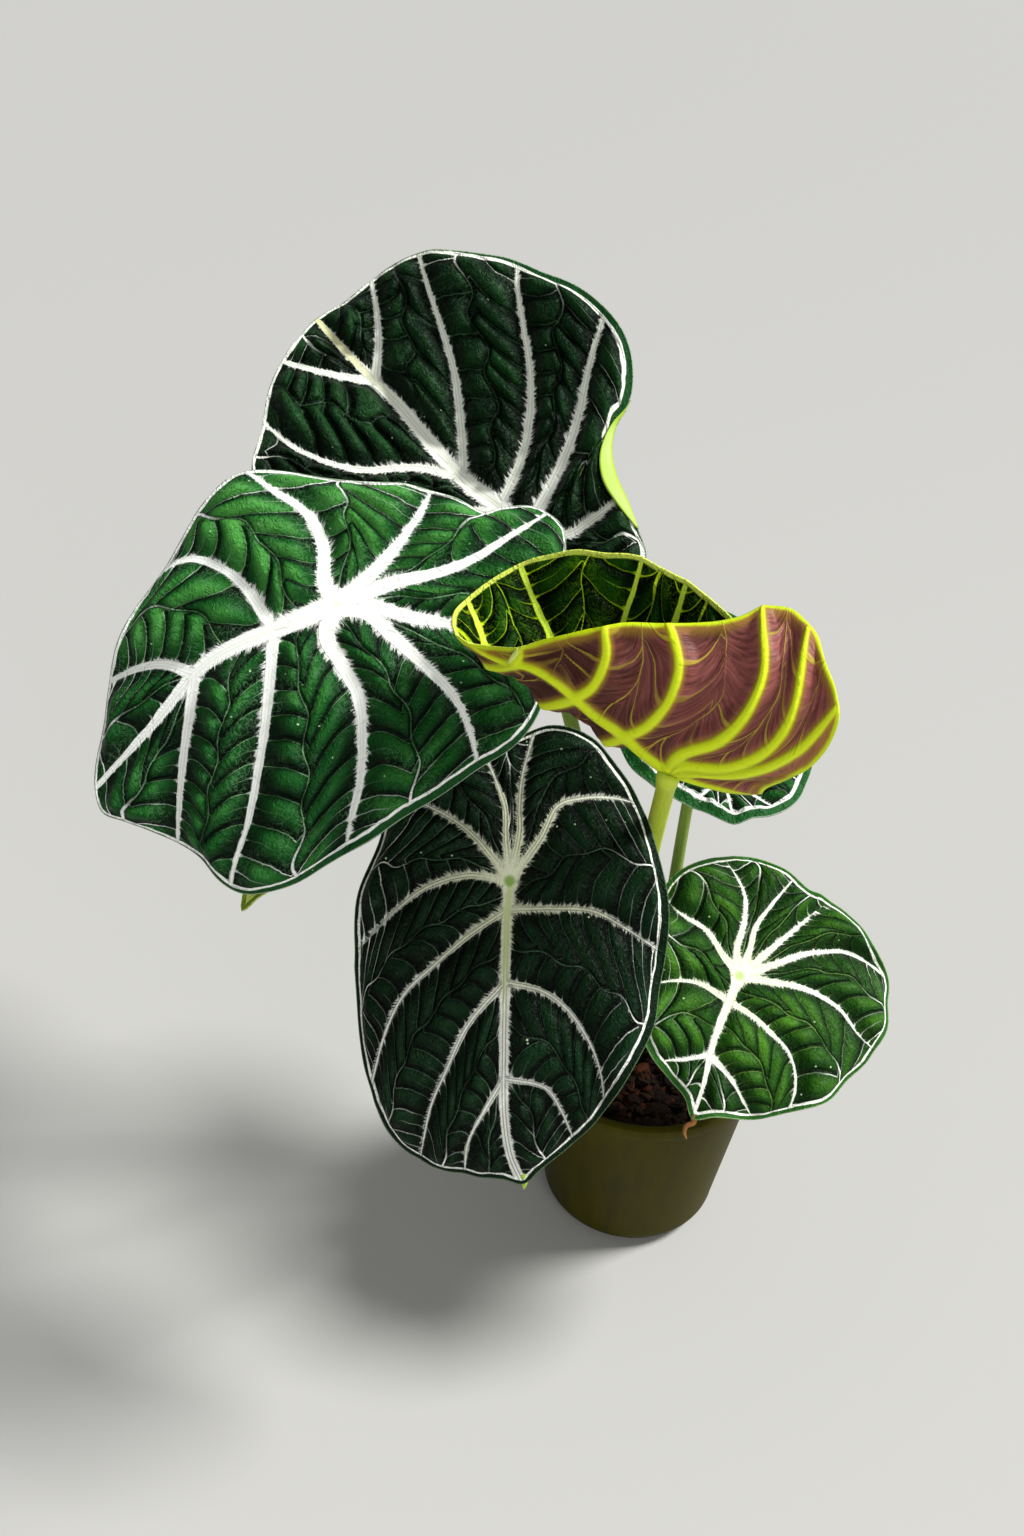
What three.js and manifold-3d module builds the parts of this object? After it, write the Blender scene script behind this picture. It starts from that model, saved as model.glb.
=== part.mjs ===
import * as THREE from 'three';
import Module from 'manifold-3d';
import { mergeVertices } from 'three/addons/utils/BufferGeometryUtils.js';

const wasm = await Module();
wasm.setup();
const { Manifold, Mesh: ManifoldMesh } = wasm;

// Every length is in millimetres. Z is up, and the base of the pot rests on z = 0.

// Pot
const potHeight = 72;
const potBaseRadius = 32;
const potRimRadius = 42.5;
const potRimWidth = 3.4;
const potRimDepth = 5;
const potRimStep = 1.6;
const potRimRound = 0.8;
const potWall = 1.8;
const potFloor = 2.4;
const potCorner = 9;
const potSegments = 48;
const cornerSteps = 5;
const drainHoleRadius = 3.5;
const drainHoleRing = 17;
const drainHoleCount = 6;
const holeSides = 16;

// Soil
const seatGap = 0.3;
const soilTop = 62;
const soilSegments = 42;
const soilRings = 7;
const soilRingStep = 0.001;
const barkBump = 1.6;
const barkEdge = 3;

// Blades
const bladeThickness = 0.8;
const creaseHalf = 2;
const seamsPerVein = 5;
const seamLag = 0.5;
const cushionLift = 0.6;
const hubVeinWidth = 1.25;
const veinNarrowing = 0.8;
const cushionStart = 2;
const ribSpread = 1.6;
const ribNarrowing = 0.75;
const rimPull = 1.5;

// Stalks
const holeClearance = 0.3;
const stalkSides = 10;
const stalkRings = 14;
const stalkBottom = 34;
const straightFoot = 34;
const leanShare = 0.35;
const stalkTaper = 0.25;
const stalkSwing = 0.4;

// A leaf is drawn flat first: u runs from the place where the stalk joins to the tip, v runs
// sideways. hub, tipWay and faceWay place that flat sheet, and the bend values curl it.
// margin goes round the leaf from the tip, over the plus side, the back and the minus side.
// Each pair of side veins leaves the midrib at foot. hubVeins fan out from the hub itself.
const backLeaf = {
  hub: [-53, 48, 245],
  tipWay: [-0.68, 0.63, 0.37],
  faceWay: [-0.12, -0.6, 0.79],
  bend: { front: -0.003, back: 0, plus: -0.006, minus: -0.004, plusFold: -6, minusFold: -4 },
  wave: { depth: 1.6, count: 7, start: 0.4 },
  quilt: 1.5,
  veinDepth: 1.1,
  veinWidth: 5,
  stalkRadius: 2.9,
  midrib: [[0, 0], [12, -1], [25, 1], [40, 1], [62, 0], [78, 1], [102, 2]],
  margin: [
    [102, 2], [100, 10], [97, 20], [91, 31], [81, 42], [69, 56], [55, 62], [40, 66], [25, 66],
    [10, 64], [-5, 59], [-18, 50], [-28, 38], [-35, 24], [-38, 8], [-37, -8], [-35, -22],
    [-26, -27], [-17, -31], [-9, -34], [-1, -39], [5, -46], [8, -55], [15, -63], [23, -68],
    [31, -70], [43, -70], [53, -68], [63, -64], [73, -60], [81, -54], [88, -48], [95, -41],
    [99, -32], [101, -21], [101, -9],
  ],
  pairs: [
    { foot: 73, plus: [[82, 9], [90, 16], [97, 22]], minus: [[83, -9], [91, -15], [101, -21]] },
    {
      foot: 28,
      plus: [[40, 10], [52, 27], [68, 37], [83, 40]],
      minus: [[34, -4], [46, -13], [58, -21], [73, -28], [85, -33], [96, -38]],
    },
    {
      foot: 12,
      plus: [[20, 14], [32, 28], [46, 40], [58, 50], [66, 58]],
      minus: [[19, -16], [27, -27], [40, -39], [54, -48], [65, -55], [72, -61]],
    },
  ],
  hubVeins: [
    [[4, 14], [10, 30], [18, 44], [26, 56], [34, 66]],
    [[-8, 12], [-12, 26], [-13, 42], [-12, 55]],
    [[-16, 6], [-26, 14], [-34, 26]],
    [[-18, -4], [-28, -8], [-37, -10]],
    [[-11, -10], [-13, -18], [-15, -32]],
    [[2, -11], [7, -27], [13, -40], [24, -54], [36, -70]],
  ],
};

const leftLeaf = {
  hub: [-103, -25, 254],
  tipWay: [-0.79, -0.45, -0.42],
  faceWay: [0.06, -0.74, 0.67],
  bend: { front: 0.006, back: 0.002, plus: 0.003, minus: 0.003, plusFold: 0, minusFold: 0 },
  wave: { depth: 2.4, count: 8, start: 1.2 },
  quilt: 1.7,
  veinDepth: 1.3,
  veinWidth: 6.5,
  stalkRadius: 3.2,
  midrib: [[0, 0], [15, -3], [38, -7], [62, -2], [86, 2]],
  margin: [
    [86, 2], [88, 9], [85, 14], [82, 19], [77, 28], [73, 35], [71, 45], [68, 50], [62, 54],
    [54, 57], [43, 58], [30, 59], [18, 59], [6, 60], [-8, 60], [-19, 60], [-28, 57],
    [-38, 50], [-50, 38], [-60, 26], [-66, 15], [-63, 6], [-55, 1], [-51, 0], [-46, -7],
    [-40, -13], [-35, -18], [-28, -24], [-20, -32], [-11, -40], [0, -46], [15, -45],
    [26, -41], [36, -36], [46, -31], [58, -25], [66, -20], [76, -10],
  ],
  pairs: [
    {
      foot: 43,
      plus: [[51, 2], [56, 7], [64, 15], [70, 21], [77, 28]],
      minus: [[49, -14], [57, -18], [65, -20]],
    },
    {
      foot: 18,
      plus: [[29, 10], [36, 18], [45, 27], [55, 36], [64, 42], [70, 47]],
      minus: [[18, -19], [21, -28], [26, -34], [33, -36], [42, -34]],
    },
  ],
  hubVeins: [
    [[7, 6], [8, 15], [9, 24], [15, 35], [22, 44], [30, 51], [38, 59]],
    [[-6, 7], [-8, 16], [-11, 28], [-13, 39], [-12, 48], [-8, 60]],
    [[-8, 6], [-15, 14], [-25, 23], [-38, 34], [-47, 42]],
    [[-9, 2], [-18, 4], [-29, 8], [-40, 10], [-50, 10], [-65, 10]],
    [[-8, -1], [-18, -3], [-27, -6], [-34, -9], [-41, -13]],
    [[-1, -7], [-6, -15], [-8, -23], [-7, -30], [-4, -37], [-1, -46]],
  ],
};

const newLeaf = {
  hub: [-14, -70, 236],
  tipWay: [-0.92, 0.345, 0.184],
  faceWay: [0.196, 0, 0.981],
  bend: {
    front: -0.006, back: -0.01, plus: -0.035, minus: -0.029, plusFold: -50, minusFold: -10,
  },
  wave: { depth: 0.5, count: 6, start: 0.9 },
  quilt: 1.1,
  veinDepth: 1.0,
  veinWidth: 4.4,
  stalkRadius: 3.4,
  midrib: [[-3, 0], [6, 5], [12, 8], [21, 10], [28, 12], [35, 13], [42, 12], [50, 7], [60, 2]],
  margin: [
    [60, 2], [55, 7], [49, 13], [43, 21], [37, 27], [31, 32], [25, 36], [13, 41], [1, 46],
    [-9, 50], [-18, 55], [-29, 56], [-36, 53], [-43, 48], [-47, 41], [-51, 34], [-52, 28],
    [-48, 21], [-41, 14], [-34, 9], [-28, 3], [-27, -5], [-31, -14], [-34, -24], [-29, -34],
    [-19, -41], [-7, -45], [4, -49], [15, -51], [27, -51], [37, -50], [45, -46], [53, -42],
    [58, -37], [63, -31], [66, -24], [68, -15], [68, -6], [65, -1],
  ],
  pairs: [
    { foot: 46, plus: [[46, 13], [47, 16]], minus: [[51, 1], [59, -7], [68, -12]] },
    {
      foot: 27,
      plus: [[24, 19], [25, 27], [30, 33]],
      minus: [[34, 0], [43, -18], [50, -22], [64, -29]],
    },
    {
      foot: 11,
      plus: [[6, 15], [3, 24], [4, 32], [8, 37], [13, 41]],
      minus: [[20, -10], [29, -34], [31, -42], [34, -51]],
    },
  ],
  hubVeins: [
    [[-5, 10], [-16, 19], [-23, 29], [-25, 38], [-17, 54]],
    [[-6, 6], [-17, 10], [-28, 17], [-35, 25], [-38, 33], [-39, 50]],
    [[-10, 5], [-21, 9], [-37, 18], [-46, 25], [-52, 30]],
    [[-10, 0], [-18, 0], [-27, -1]],
    [[-9, -8], [-19, -18], [-32, -30]],
    [[-2, -14], [-2, -30], [-1, -47]],
    [[6, -12], [12, -28], [17, -51]],
  ],
};

const frontLeaf = {
  hub: [-51, -61, 189],
  tipWay: [0.06, -0.718, -0.694],
  faceWay: [-0.161, -0.693, 0.703],
  bend: { front: 0.006, back: -0.001, plus: 0.004, minus: 0.004, plusFold: 0, minusFold: 0 },
  wave: { depth: 1.8, count: 7, start: 2.1 },
  quilt: 1.6,
  veinDepth: 1.1,
  veinWidth: 4.4,
  stalkRadius: 3,
  midrib: [[0, 0], [12, -1], [30, -2], [47, -3], [66, -4], [78, -3], [86, 0]],
  margin: [
    [86, 0], [82, 5], [75, 15], [68, 22], [61, 27], [50, 34], [41, 39], [31, 41], [22, 43],
    [8, 44], [-5, 42], [-17, 39], [-26, 35], [-33, 30], [-39, 25], [-43, 18], [-44, 11],
    [-42, 4], [-40, -2], [-42, -9], [-41, -19], [-35, -28], [-25, -35], [-13, -39],
    [1, -44], [13, -45], [25, -46], [39, -46], [51, -44], [62, -41], [72, -38], [79, -33],
    [83, -26], [84, -15], [84, -6],
  ],
  pairs: [
    {
      foot: 55,
      plus: [[58, 8], [65, 12], [75, 15]],
      minus: [[65, -10], [74, -15], [84, -17]],
    },
    {
      foot: 28,
      plus: [[31, 9], [37, 16], [48, 22], [57, 24], [66, 24]],
      minus: [[40, -13], [53, -20], [63, -25], [80, -30]],
    },
    {
      foot: 8,
      plus: [[8, 12], [9, 23], [14, 32], [22, 43]],
      minus: [[15, -12], [23, -22], [31, -31], [42, -37], [58, -42]],
    },
  ],
  hubVeins: [
    [[-12, 9], [-21, 14], [-23, 21], [-23, 29], [-21, 37]],
    [[-14, 3], [-21, 3], [-30, 4], [-44, 8]],
    [[-13, -1], [-20, -1], [-27, -3], [-42, -9]],
    [[-7, -5], [-13, -10], [-18, -16], [-23, -25], [-27, -34]],
    [[-2, -12], [1, -24], [7, -33], [19, -46]],
  ],
};

const rightLeaf = {
  hub: [23, -34, 135],
  tipWay: [-0.26, -0.85, -0.45],
  faceWay: [0.16, -0.5, 0.85],
  bend: { front: 0.009, back: 0, plus: 0.004, minus: 0.004, plusFold: 0, minusFold: 0 },
  wave: { depth: 2.0, count: 8, start: 0.5 },
  quilt: 1.4,
  veinDepth: 1.1,
  veinWidth: 4.8,
  stalkRadius: 2.7,
  midrib: [[0, 0], [8, -1], [18, -2], [27, -2], [37, -1], [47, -1]],
  margin: [
    [47, -1], [44, 5], [41, 18], [38, 23], [33, 30], [27, 38], [19, 43], [12, 47], [5, 49],
    [-3, 51], [-12, 51], [-20, 50], [-27, 40], [-33, 34], [-37, 27], [-38, 20], [-37, 14],
    [-40, 7], [-42, -4], [-40, -11], [-34, -20], [-27, -28], [-20, -31], [-9, -31], [1, -30],
    [11, -29], [20, -27], [27, -25], [33, -20], [38, -12], [42, -5],
  ],
  pairs: [
    { foot: 27, plus: [[32, 7], [37, 13], [41, 18]], minus: [[31, -9], [34, -15], [36, -16]] },
    {
      foot: 9,
      plus: [[11, 8], [14, 15], [17, 21], [22, 25], [28, 27], [35, 27]],
      minus: [[7, -12], [9, -20], [14, -28]],
    },
  ],
  hubVeins: [
    [[-2, 10], [-4, 19], [-4, 27], [-2, 35], [3, 42], [6, 49]],
    [[-9, 11], [-15, 18], [-19, 25], [-22, 32], [-22, 41], [-20, 50]],
    [[-10, 6], [-18, 11], [-26, 16], [-32, 20], [-36, 24]],
    [[-10, 1], [-18, 1], [-27, 4], [-39, 9]],
    [[-8, -3], [-18, -3], [-27, -5], [-32, -9], [-37, -15]],
    [[-5, -7], [-11, -14], [-14, -24], [-19, -33]],
  ],
};

const middleLeaf = {
  hub: [11, 29, 193],
  tipWay: [0.22, -0.87, -0.45],
  faceWay: [0.05, -0.45, 0.89],
  bend: { front: 0.004, back: 0.002, plus: 0.004, minus: 0.004, plusFold: 0, minusFold: 0 },
  wave: { depth: 1.0, count: 6, start: 0 },
  quilt: 1,
  veinDepth: 0.8,
  veinWidth: 3.4,
  stalkRadius: 2.4,
  midrib: [[0, 0], [10, 0], [20, 0], [30, 0], [40, 0]],
  margin: [
    [40, 0], [39, 6], [39, 12], [35, 22], [28, 28], [20, 32], [8, 34], [-4, 34], [-16, 32],
    [-28, 27], [-38, 21], [-43, 14], [-42, 4], [-42, -5], [-40, -14], [-34, -23], [-23, -29],
    [-8, -32], [6, -31], [16, -29], [23, -24], [30, -16], [35, -8],
  ],
  pairs: [
    { foot: 24, plus: [[30, 7], [35, 13], [37, 17]], minus: [[28, -7], [31, -11], [33, -12]] },
    { foot: 10, plus: [[16, 10], [23, 20], [29, 27]], minus: [[15, -8], [19, -16], [24, -23]] },
  ],
  hubVeins: [
    [[4, 10], [7, 20], [11, 34]],
    [[-6, 8], [-11, 18], [-14, 32]],
    [[-10, 3], [-22, 8], [-36, 22]],
    [[-10, -2], [-26, -4], [-42, -6]],
    [[-7, -7], [-17, -15], [-29, -26]],
    [[2, -10], [4, -20], [7, -31]],
  ],
};

const youngLeaf = {
  hub: [-106, -20, 199],
  tipWay: [-0.48, -0.62, -0.62],
  faceWay: [-0.15, -0.6, 0.79],
  bend: { front: 0.004, back: 0.002, plus: -0.02, minus: -0.02, plusFold: -6, minusFold: -6 },
  wave: { depth: 0.4, count: 5, start: 0 },
  quilt: 0.4,
  veinDepth: 0.6,
  veinWidth: 2.8,
  stalkRadius: 2.1,
  midrib: [[0, 0], [12, 0], [26, 0], [40, 0], [52, 0]],
  margin: [
    [52, 0], [46, 3], [40, 7], [30, 13], [18, 16], [6, 17], [-6, 15], [-15, 11], [-20, 5],
    [-19, 0], [-20, -5], [-15, -11], [-6, -15], [6, -17], [18, -16], [30, -13], [40, -7],
    [46, -3],
  ],
  pairs: [
    { foot: 22, plus: [[27, 5], [32, 9], [36, 10]], minus: [[27, -5], [32, -9], [36, -10]] },
    { foot: 8, plus: [[14, 7], [19, 12], [23, 15]], minus: [[14, -7], [19, -12], [23, -15]] },
  ],
  hubVeins: [
    [[1, 6], [4, 12], [7, 17]],
    [[-5, 3], [-11, 7], [-16, 10]],
    [[-6, 0], [-12, 0], [-19, 0]],
    [[-5, -3], [-11, -7], [-16, -10]],
    [[1, -6], [4, -12], [7, -17]],
  ],
};

// Each stalk rises from a place in the soil and swings out under its blade.
// reach is how far below the blade it leaves the blade's underside, by default square to it.
const leaves = [
  { name: 'back', leaf: backLeaf, foot: [-6, 22], reach: 26, columns: 4, rows: 10 },
  { name: 'left', leaf: leftLeaf, foot: [-20, 14], reach: 26, columns: 4, rows: 10 },
  {
    name: 'new', leaf: newLeaf, foot: [-9, 11], reach: 52, columns: 4, rows: 10,
    leaveWay: [0.06, 0.66, -0.75],
  },
  { name: 'front', leaf: frontLeaf, foot: [-17, 3], reach: 20, columns: 4, rows: 10 },
  { name: 'right', leaf: rightLeaf, foot: [8, 9], reach: 16, columns: 4, rows: 10 },
  { name: 'middle', leaf: middleLeaf, foot: [5, 21], reach: 16, columns: 3, rows: 8 },
  { name: 'young', leaf: youngLeaf, foot: [-16, 24], reach: 16, columns: 3, rows: 8 },
];

const colours = {
  pot: 0x4a4a1e,
  soil: 0x2c201a,
  blade: 0x14391f,
  newBlade: 0x5a2f2a,
  youngBlade: 0x5f7a1c,
  stalk: 0x7f9a2c,
  newStalk: 0xb9cf2a,
};

const roughness = { pot: 0.6, soil: 0.95, blade: 0.55, stalk: 0.45 };

const { lerp, degToRad, clamp } = THREE.MathUtils;

const toVector = (list) => new THREE.Vector3(list[0], list[1], list[2] ?? 0);

// A smooth curve through flat points, which can be read at any share of its length.
function flatCurve(points, closed = false) {
  const curve = new THREE.CatmullRomCurve3(points, closed, 'centripetal');
  curve.arcLengthDivisions = closed ? 400 : 120;
  return curve;
}

// The share along the margin that lies nearest to a point.
function shareOnMargin(margin, point) {
  const steps = 720;
  let best = 0;
  let bestDistance = Infinity;
  for (let i = 0; i < steps; i += 1) {
    const distance = margin.getPointAt(i / steps).distanceTo(point);
    if (distance < bestDistance) {
      bestDistance = distance;
      best = i / steps;
    }
  }
  return best;
}

// The share of the midrib's length at which it crosses a given u.
function shareOnMidrib(midrib, u) {
  const halvings = 24;
  let low = 0;
  let high = 1;
  for (let i = 0; i < halvings; i += 1) {
    const middle = (low + high) / 2;
    if (midrib.getPointAt(middle).x < u) low = middle;
    else high = middle;
  }
  return low;
}

// The veins in order round the leaf, each with its curve, its foot and its share of the margin.
function veinsOf(leaf) {
  const midrib = flatCurve(leaf.midrib.map(toVector));
  const margin = flatCurve(leaf.margin.map(toVector), true);
  const footOn = (pair) => midrib.getPointAt(shareOnMidrib(midrib, pair.foot));
  const veins = [];
  const addVein = (points, atTip = false) => {
    const curve = flatCurve(points);
    const at = atTip ? 0 : shareOnMargin(margin, points[points.length - 1]);
    veins.push({ curve, at, foot: points[0] });
  };
  const lastFoot = shareOnMidrib(midrib, leaf.pairs[0].foot);
  const tipSteps = 8;
  const tipPoints = [];
  for (let i = 0; i <= tipSteps; i += 1) {
    tipPoints.push(midrib.getPointAt(lerp(lastFoot, 1, i / tipSteps)));
  }
  addVein(tipPoints, true);
  leaf.pairs.forEach((pair) => addVein([footOn(pair), ...pair.plus.map(toVector)]));
  leaf.hubVeins.forEach((points) => addVein([leaf.midrib[0], ...points].map(toVector)));
  [...leaf.pairs].reverse().forEach((pair) => {
    addVein([footOn(pair), ...pair.minus.map(toVector)]);
  });
  return { veins, margin };
}

// A point on a vein, drawn so that its end lies exactly on the margin.
function veinPoint(vein, share, endOnMargin) {
  const miss = endOnMargin.clone().sub(vein.curve.getPointAt(1));
  return vein.curve.getPointAt(share).addScaledVector(miss, share * share);
}

// How far a bend of a given rate carries a point along and down.
function bendAlong(rate, length) {
  if (rate === 0) return [length, 0];
  return [Math.sin(rate * length) / rate, (1 - Math.cos(rate * length)) / rate];
}

// The way the upper face turns sideways at v; across the midrib it swings over smoothly.
function faceTurnAt(bend, v) {
  const turnOnSide = (w) => {
    const fold = degToRad(w >= 0 ? bend.plusFold : bend.minusFold);
    return (w >= 0 ? 1 : -1) * (fold + (w >= 0 ? bend.plus : bend.minus) * Math.abs(w));
  };
  if (Math.abs(v) >= creaseHalf) return turnOnSide(v);
  const share = (v + creaseHalf) / (2 * creaseHalf);
  return lerp(turnOnSide(-creaseHalf), turnOnSide(creaseHalf), share);
}

// Carries a flat point, lifted by height over the sheet, to its place on the curled leaf.
function placeOnLeaf(leaf, u, v, height) {
  const along = toVector(leaf.tipWay).normalize();
  const face = toVector(leaf.faceWay);
  face.addScaledVector(along, -face.dot(along)).normalize();
  const across = new THREE.Vector3().crossVectors(face, along);
  const { bend } = leaf;
  const rate = u >= 0 ? bend.front : bend.back;
  const [forward, drop] = bendAlong(rate, u);
  const turn = rate * u;
  const turnedFace = face.clone().multiplyScalar(Math.cos(turn));
  turnedFace.addScaledVector(along, Math.sin(turn));
  const side = v >= 0 ? 1 : -1;
  const sideRate = v >= 0 ? bend.plus : bend.minus;
  const fold = degToRad(v >= 0 ? bend.plusFold : bend.minusFold);
  const sideTurn = fold + sideRate * Math.abs(v);
  const faceTurn = faceTurnAt(bend, v);
  const out = (Math.sin(sideTurn) - Math.sin(fold)) / sideRate;
  const down = (Math.cos(fold) - Math.cos(sideTurn)) / sideRate;
  const normal = turnedFace.clone().multiplyScalar(Math.cos(faceTurn));
  normal.addScaledVector(across, Math.sin(faceTurn)).normalize();
  const point = toVector(leaf.hub);
  point.addScaledVector(along, forward).addScaledVector(face, -drop);
  point.addScaledVector(across, side * out).addScaledVector(turnedFace, -down);
  return { point: point.addScaledVector(normal, height), normal };
}

// Half the width of a main vein, which narrows towards the margin.
const veinHalf = (leaf, share) => (leaf.veinWidth / 2) * (hubVeinWidth - veinNarrowing * share);

// The height of the upper face over the sheet: veins are grooves, the fields between them
// are quilted cushions parted by slanting seams, and the margin waves.
function reliefAt(leaf, place) {
  const { share, between, marginShare, toVein } = place;
  const clearOfVein = clamp(toVein / (veinHalf(leaf, share) * cushionStart), 0, 1);
  const cushion = clearOfVein * clearOfVein * (3 - 2 * clearOfVein);
  const seam = share * seamsPerVein - seamLag * (1 - Math.abs(2 * between - 1));
  const quilt = 0.5 - 0.5 * Math.cos(2 * Math.PI * seam);
  const wave = Math.sin(2 * Math.PI * leaf.wave.count * marginShare + leaf.wave.start);
  const edge = share ** 3;
  const lift = cushion * (leaf.veinDepth * cushionLift + quilt * leaf.quilt * (1 - edge));
  return lift + leaf.wave.depth * wave * edge;
}

// The extra depth of the rib under a vein.
function ribAt(leaf, place) {
  const nearVein = Math.max(0, 1 - place.toVein / (veinHalf(leaf, place.share) * ribSpread));
  return nearVein * leaf.veinDepth * (1 - ribNarrowing * place.share);
}

// The flat points of one column, from the midrib or the hub out to the margin.
function columnPoints(from, to, margin, between, rows) {
  const toAt = to.at <= from.at ? to.at + 1 : to.at;
  const marginShare = lerp(from.at, toAt, between);
  const fromEnd = margin.getPointAt(from.at);
  const toEnd = margin.getPointAt(toAt % 1);
  const rim = margin.getPointAt(marginShare % 1).sub(fromEnd.clone().lerp(toEnd, between));
  const base = from.foot.clone().lerp(to.foot, between);
  const points = [];
  for (let row = 0; row <= rows; row += 1) {
    const share = row / rows;
    const onFrom = veinPoint(from, share, fromEnd);
    const onTo = veinPoint(to, share, toEnd);
    const flat = onFrom.clone().lerp(onTo, between).addScaledVector(rim, share ** rimPull);
    const toVein = Math.min(flat.distanceTo(onFrom), flat.distanceTo(onTo), flat.distanceTo(base));
    points.push({ flat, share, between, marginShare, toVein });
  }
  return points;
}

// One blade: columns run along the veins, rows run round the leaf, and the columns meet
// in shared points along the midrib. Both faces are split into triangles alike.
function makeBlade(leaf, columnsPerField, rows) {
  const { veins, margin } = veinsOf(leaf);
  const positions = [];
  const midribPoints = new Map();
  const addPair = (place) => {
    const { flat } = place;
    const top = reliefAt(leaf, place);
    const bottom = top - bladeThickness - ribAt(leaf, place);
    const pair = positions.length / 3;
    [top, bottom].forEach((height) => {
      positions.push(...placeOnLeaf(leaf, flat.x, flat.y, height).point.toArray());
    });
    return pair;
  };
  const addOnMidrib = (place) => {
    const key = `${place.flat.x.toFixed(3)},${place.flat.y.toFixed(3)}`;
    if (!midribPoints.has(key)) midribPoints.set(key, addPair(place));
    return midribPoints.get(key);
  };
  const columns = [];
  veins.forEach((from, field) => {
    const to = veins[(field + 1) % veins.length];
    for (let step = 0; step < columnsPerField; step += 1) {
      const places = columnPoints(from, to, margin, step / columnsPerField, rows);
      columns.push(places.map((place, row) => (row === 0 ? addOnMidrib(place) : addPair(place))));
    }
  });
  const faces = [];
  const addBoth = (a, b, c) => {
    if (a === b || b === c || a === c) return;
    faces.push(a, b, c);
    faces.push(a + 1, c + 1, b + 1);
  };
  columns.forEach((here, column) => {
    const next = columns[(column + 1) % columns.length];
    for (let row = 0; row < rows; row += 1) {
      addBoth(here[row], here[row + 1], next[row + 1]);
      addBoth(here[row], next[row + 1], next[row]);
    }
    faces.push(here[rows], here[rows] + 1, next[rows] + 1);
    faces.push(here[rows], next[rows] + 1, next[rows]);
  });
  return meshGeometry(positions, faces);
}

function meshGeometry(positions, faces) {
  const geometry = new THREE.BufferGeometry();
  geometry.setAttribute('position', new THREE.Float32BufferAttribute(positions, 3));
  geometry.setIndex(faces);
  return geometry;
}

function namedMesh(name, geometry, color, rough) {
  const material = new THREE.MeshStandardMaterial({ color, roughness: rough, metalness: 0 });
  const mesh = new THREE.Mesh(geometry, material);
  mesh.name = name;
  return mesh;
}

function bladeMesh(entry) {
  const { name, leaf, columns, rows } = entry;
  const colour = { new: colours.newBlade, young: colours.youngBlade }[name] ?? colours.blade;
  return namedMesh(`${name}_blade`, makeBlade(leaf, columns, rows), colour, roughness.blade);
}

// Rings of points along a list of centres, joined into a tapering round stalk with flat ends.
function ringTube(rings) {
  const positions = [];
  const faces = [];
  let sideways = new THREE.Vector3(1, 0, 0);
  rings.forEach(({ centre, way, radius }) => {
    const tangent = way.clone().normalize();
    sideways = sideways.clone().addScaledVector(tangent, -sideways.dot(tangent)).normalize();
    const other = new THREE.Vector3().crossVectors(tangent, sideways);
    for (let side = 0; side < stalkSides; side += 1) {
      const angle = (2 * Math.PI * side) / stalkSides;
      const point = centre.clone().addScaledVector(sideways, radius * Math.cos(angle));
      positions.push(...point.addScaledVector(other, radius * Math.sin(angle)).toArray());
    }
  });
  for (let ring = 0; ring + 1 < rings.length; ring += 1) {
    for (let side = 0; side < stalkSides; side += 1) {
      const a = ring * stalkSides + side;
      const b = ring * stalkSides + ((side + 1) % stalkSides);
      faces.push(a, b, b + stalkSides);
      faces.push(a, b + stalkSides, a + stalkSides);
    }
  }
  const last = (rings.length - 1) * stalkSides;
  for (let side = 1; side + 1 < stalkSides; side += 1) {
    faces.push(0, side + 1, side);
    faces.push(last, last + side, last + side + 1);
  }
  return meshGeometry(positions, faces);
}

// The straight foot of a stalk: where it stands in the soil and which way it leans.
function footOf(entry) {
  const hub = toVector(entry.leaf.hub);
  const start = new THREE.Vector3(entry.foot[0], entry.foot[1], stalkBottom);
  const way = hub.sub(start);
  way.x *= leanShare;
  way.y *= leanShare;
  return { start, way: way.normalize() };
}

function stalkMesh(entry) {
  const { name, leaf } = entry;
  const { start, way } = footOf(entry);
  const leave = start.clone().addScaledVector(way, straightFoot);
  const [hubU, hubV] = leaf.midrib[0];
  const end = placeOnLeaf(leaf, hubU, hubV, -bladeThickness - leaf.veinDepth - seatGap);
  const leaveWay = entry.leaveWay ? toVector(entry.leaveWay).normalize() : end.normal.clone().negate();
  const swing = new THREE.CubicBezierCurve3(
    leave,
    leave.clone().addScaledVector(way, leave.distanceTo(end.point) * stalkSwing),
    end.point.clone().addScaledVector(leaveWay, entry.reach),
    end.point,
  );
  const rings = [
    { centre: start, way, radius: leaf.stalkRadius },
    { centre: leave, way, radius: leaf.stalkRadius },
  ];
  for (let ring = 1; ring <= stalkRings; ring += 1) {
    const share = ring / stalkRings;
    rings.push({
      centre: swing.getPoint(share),
      way: ring === stalkRings ? end.normal : swing.getTangent(share),
      radius: leaf.stalkRadius * (1 - stalkTaper * share),
    });
  }
  const colour = name === 'new' ? colours.newStalk : colours.stalk;
  return namedMesh(`${name}_stalk`, ringTube(rings), colour, roughness.stalk);
}

// Plain positions and faces, with equal points joined and flat slivers left out.
function toSolid(geometry) {
  const bare = geometry.toNonIndexed();
  bare.deleteAttribute('normal');
  bare.deleteAttribute('uv');
  const plain = mergeVertices(bare, 1e-4);
  const faces = [];
  const { array } = plain.index;
  for (let i = 0; i < array.length; i += 3) {
    const [a, b, c] = [array[i], array[i + 1], array[i + 2]];
    if (a !== b && b !== c && a !== c) faces.push(a, b, c);
  }
  return new Manifold(new ManifoldMesh({
    numProp: 3,
    vertProperties: new Float32Array(plain.attributes.position.array),
    triVerts: new Uint32Array(faces),
  }));
}

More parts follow.
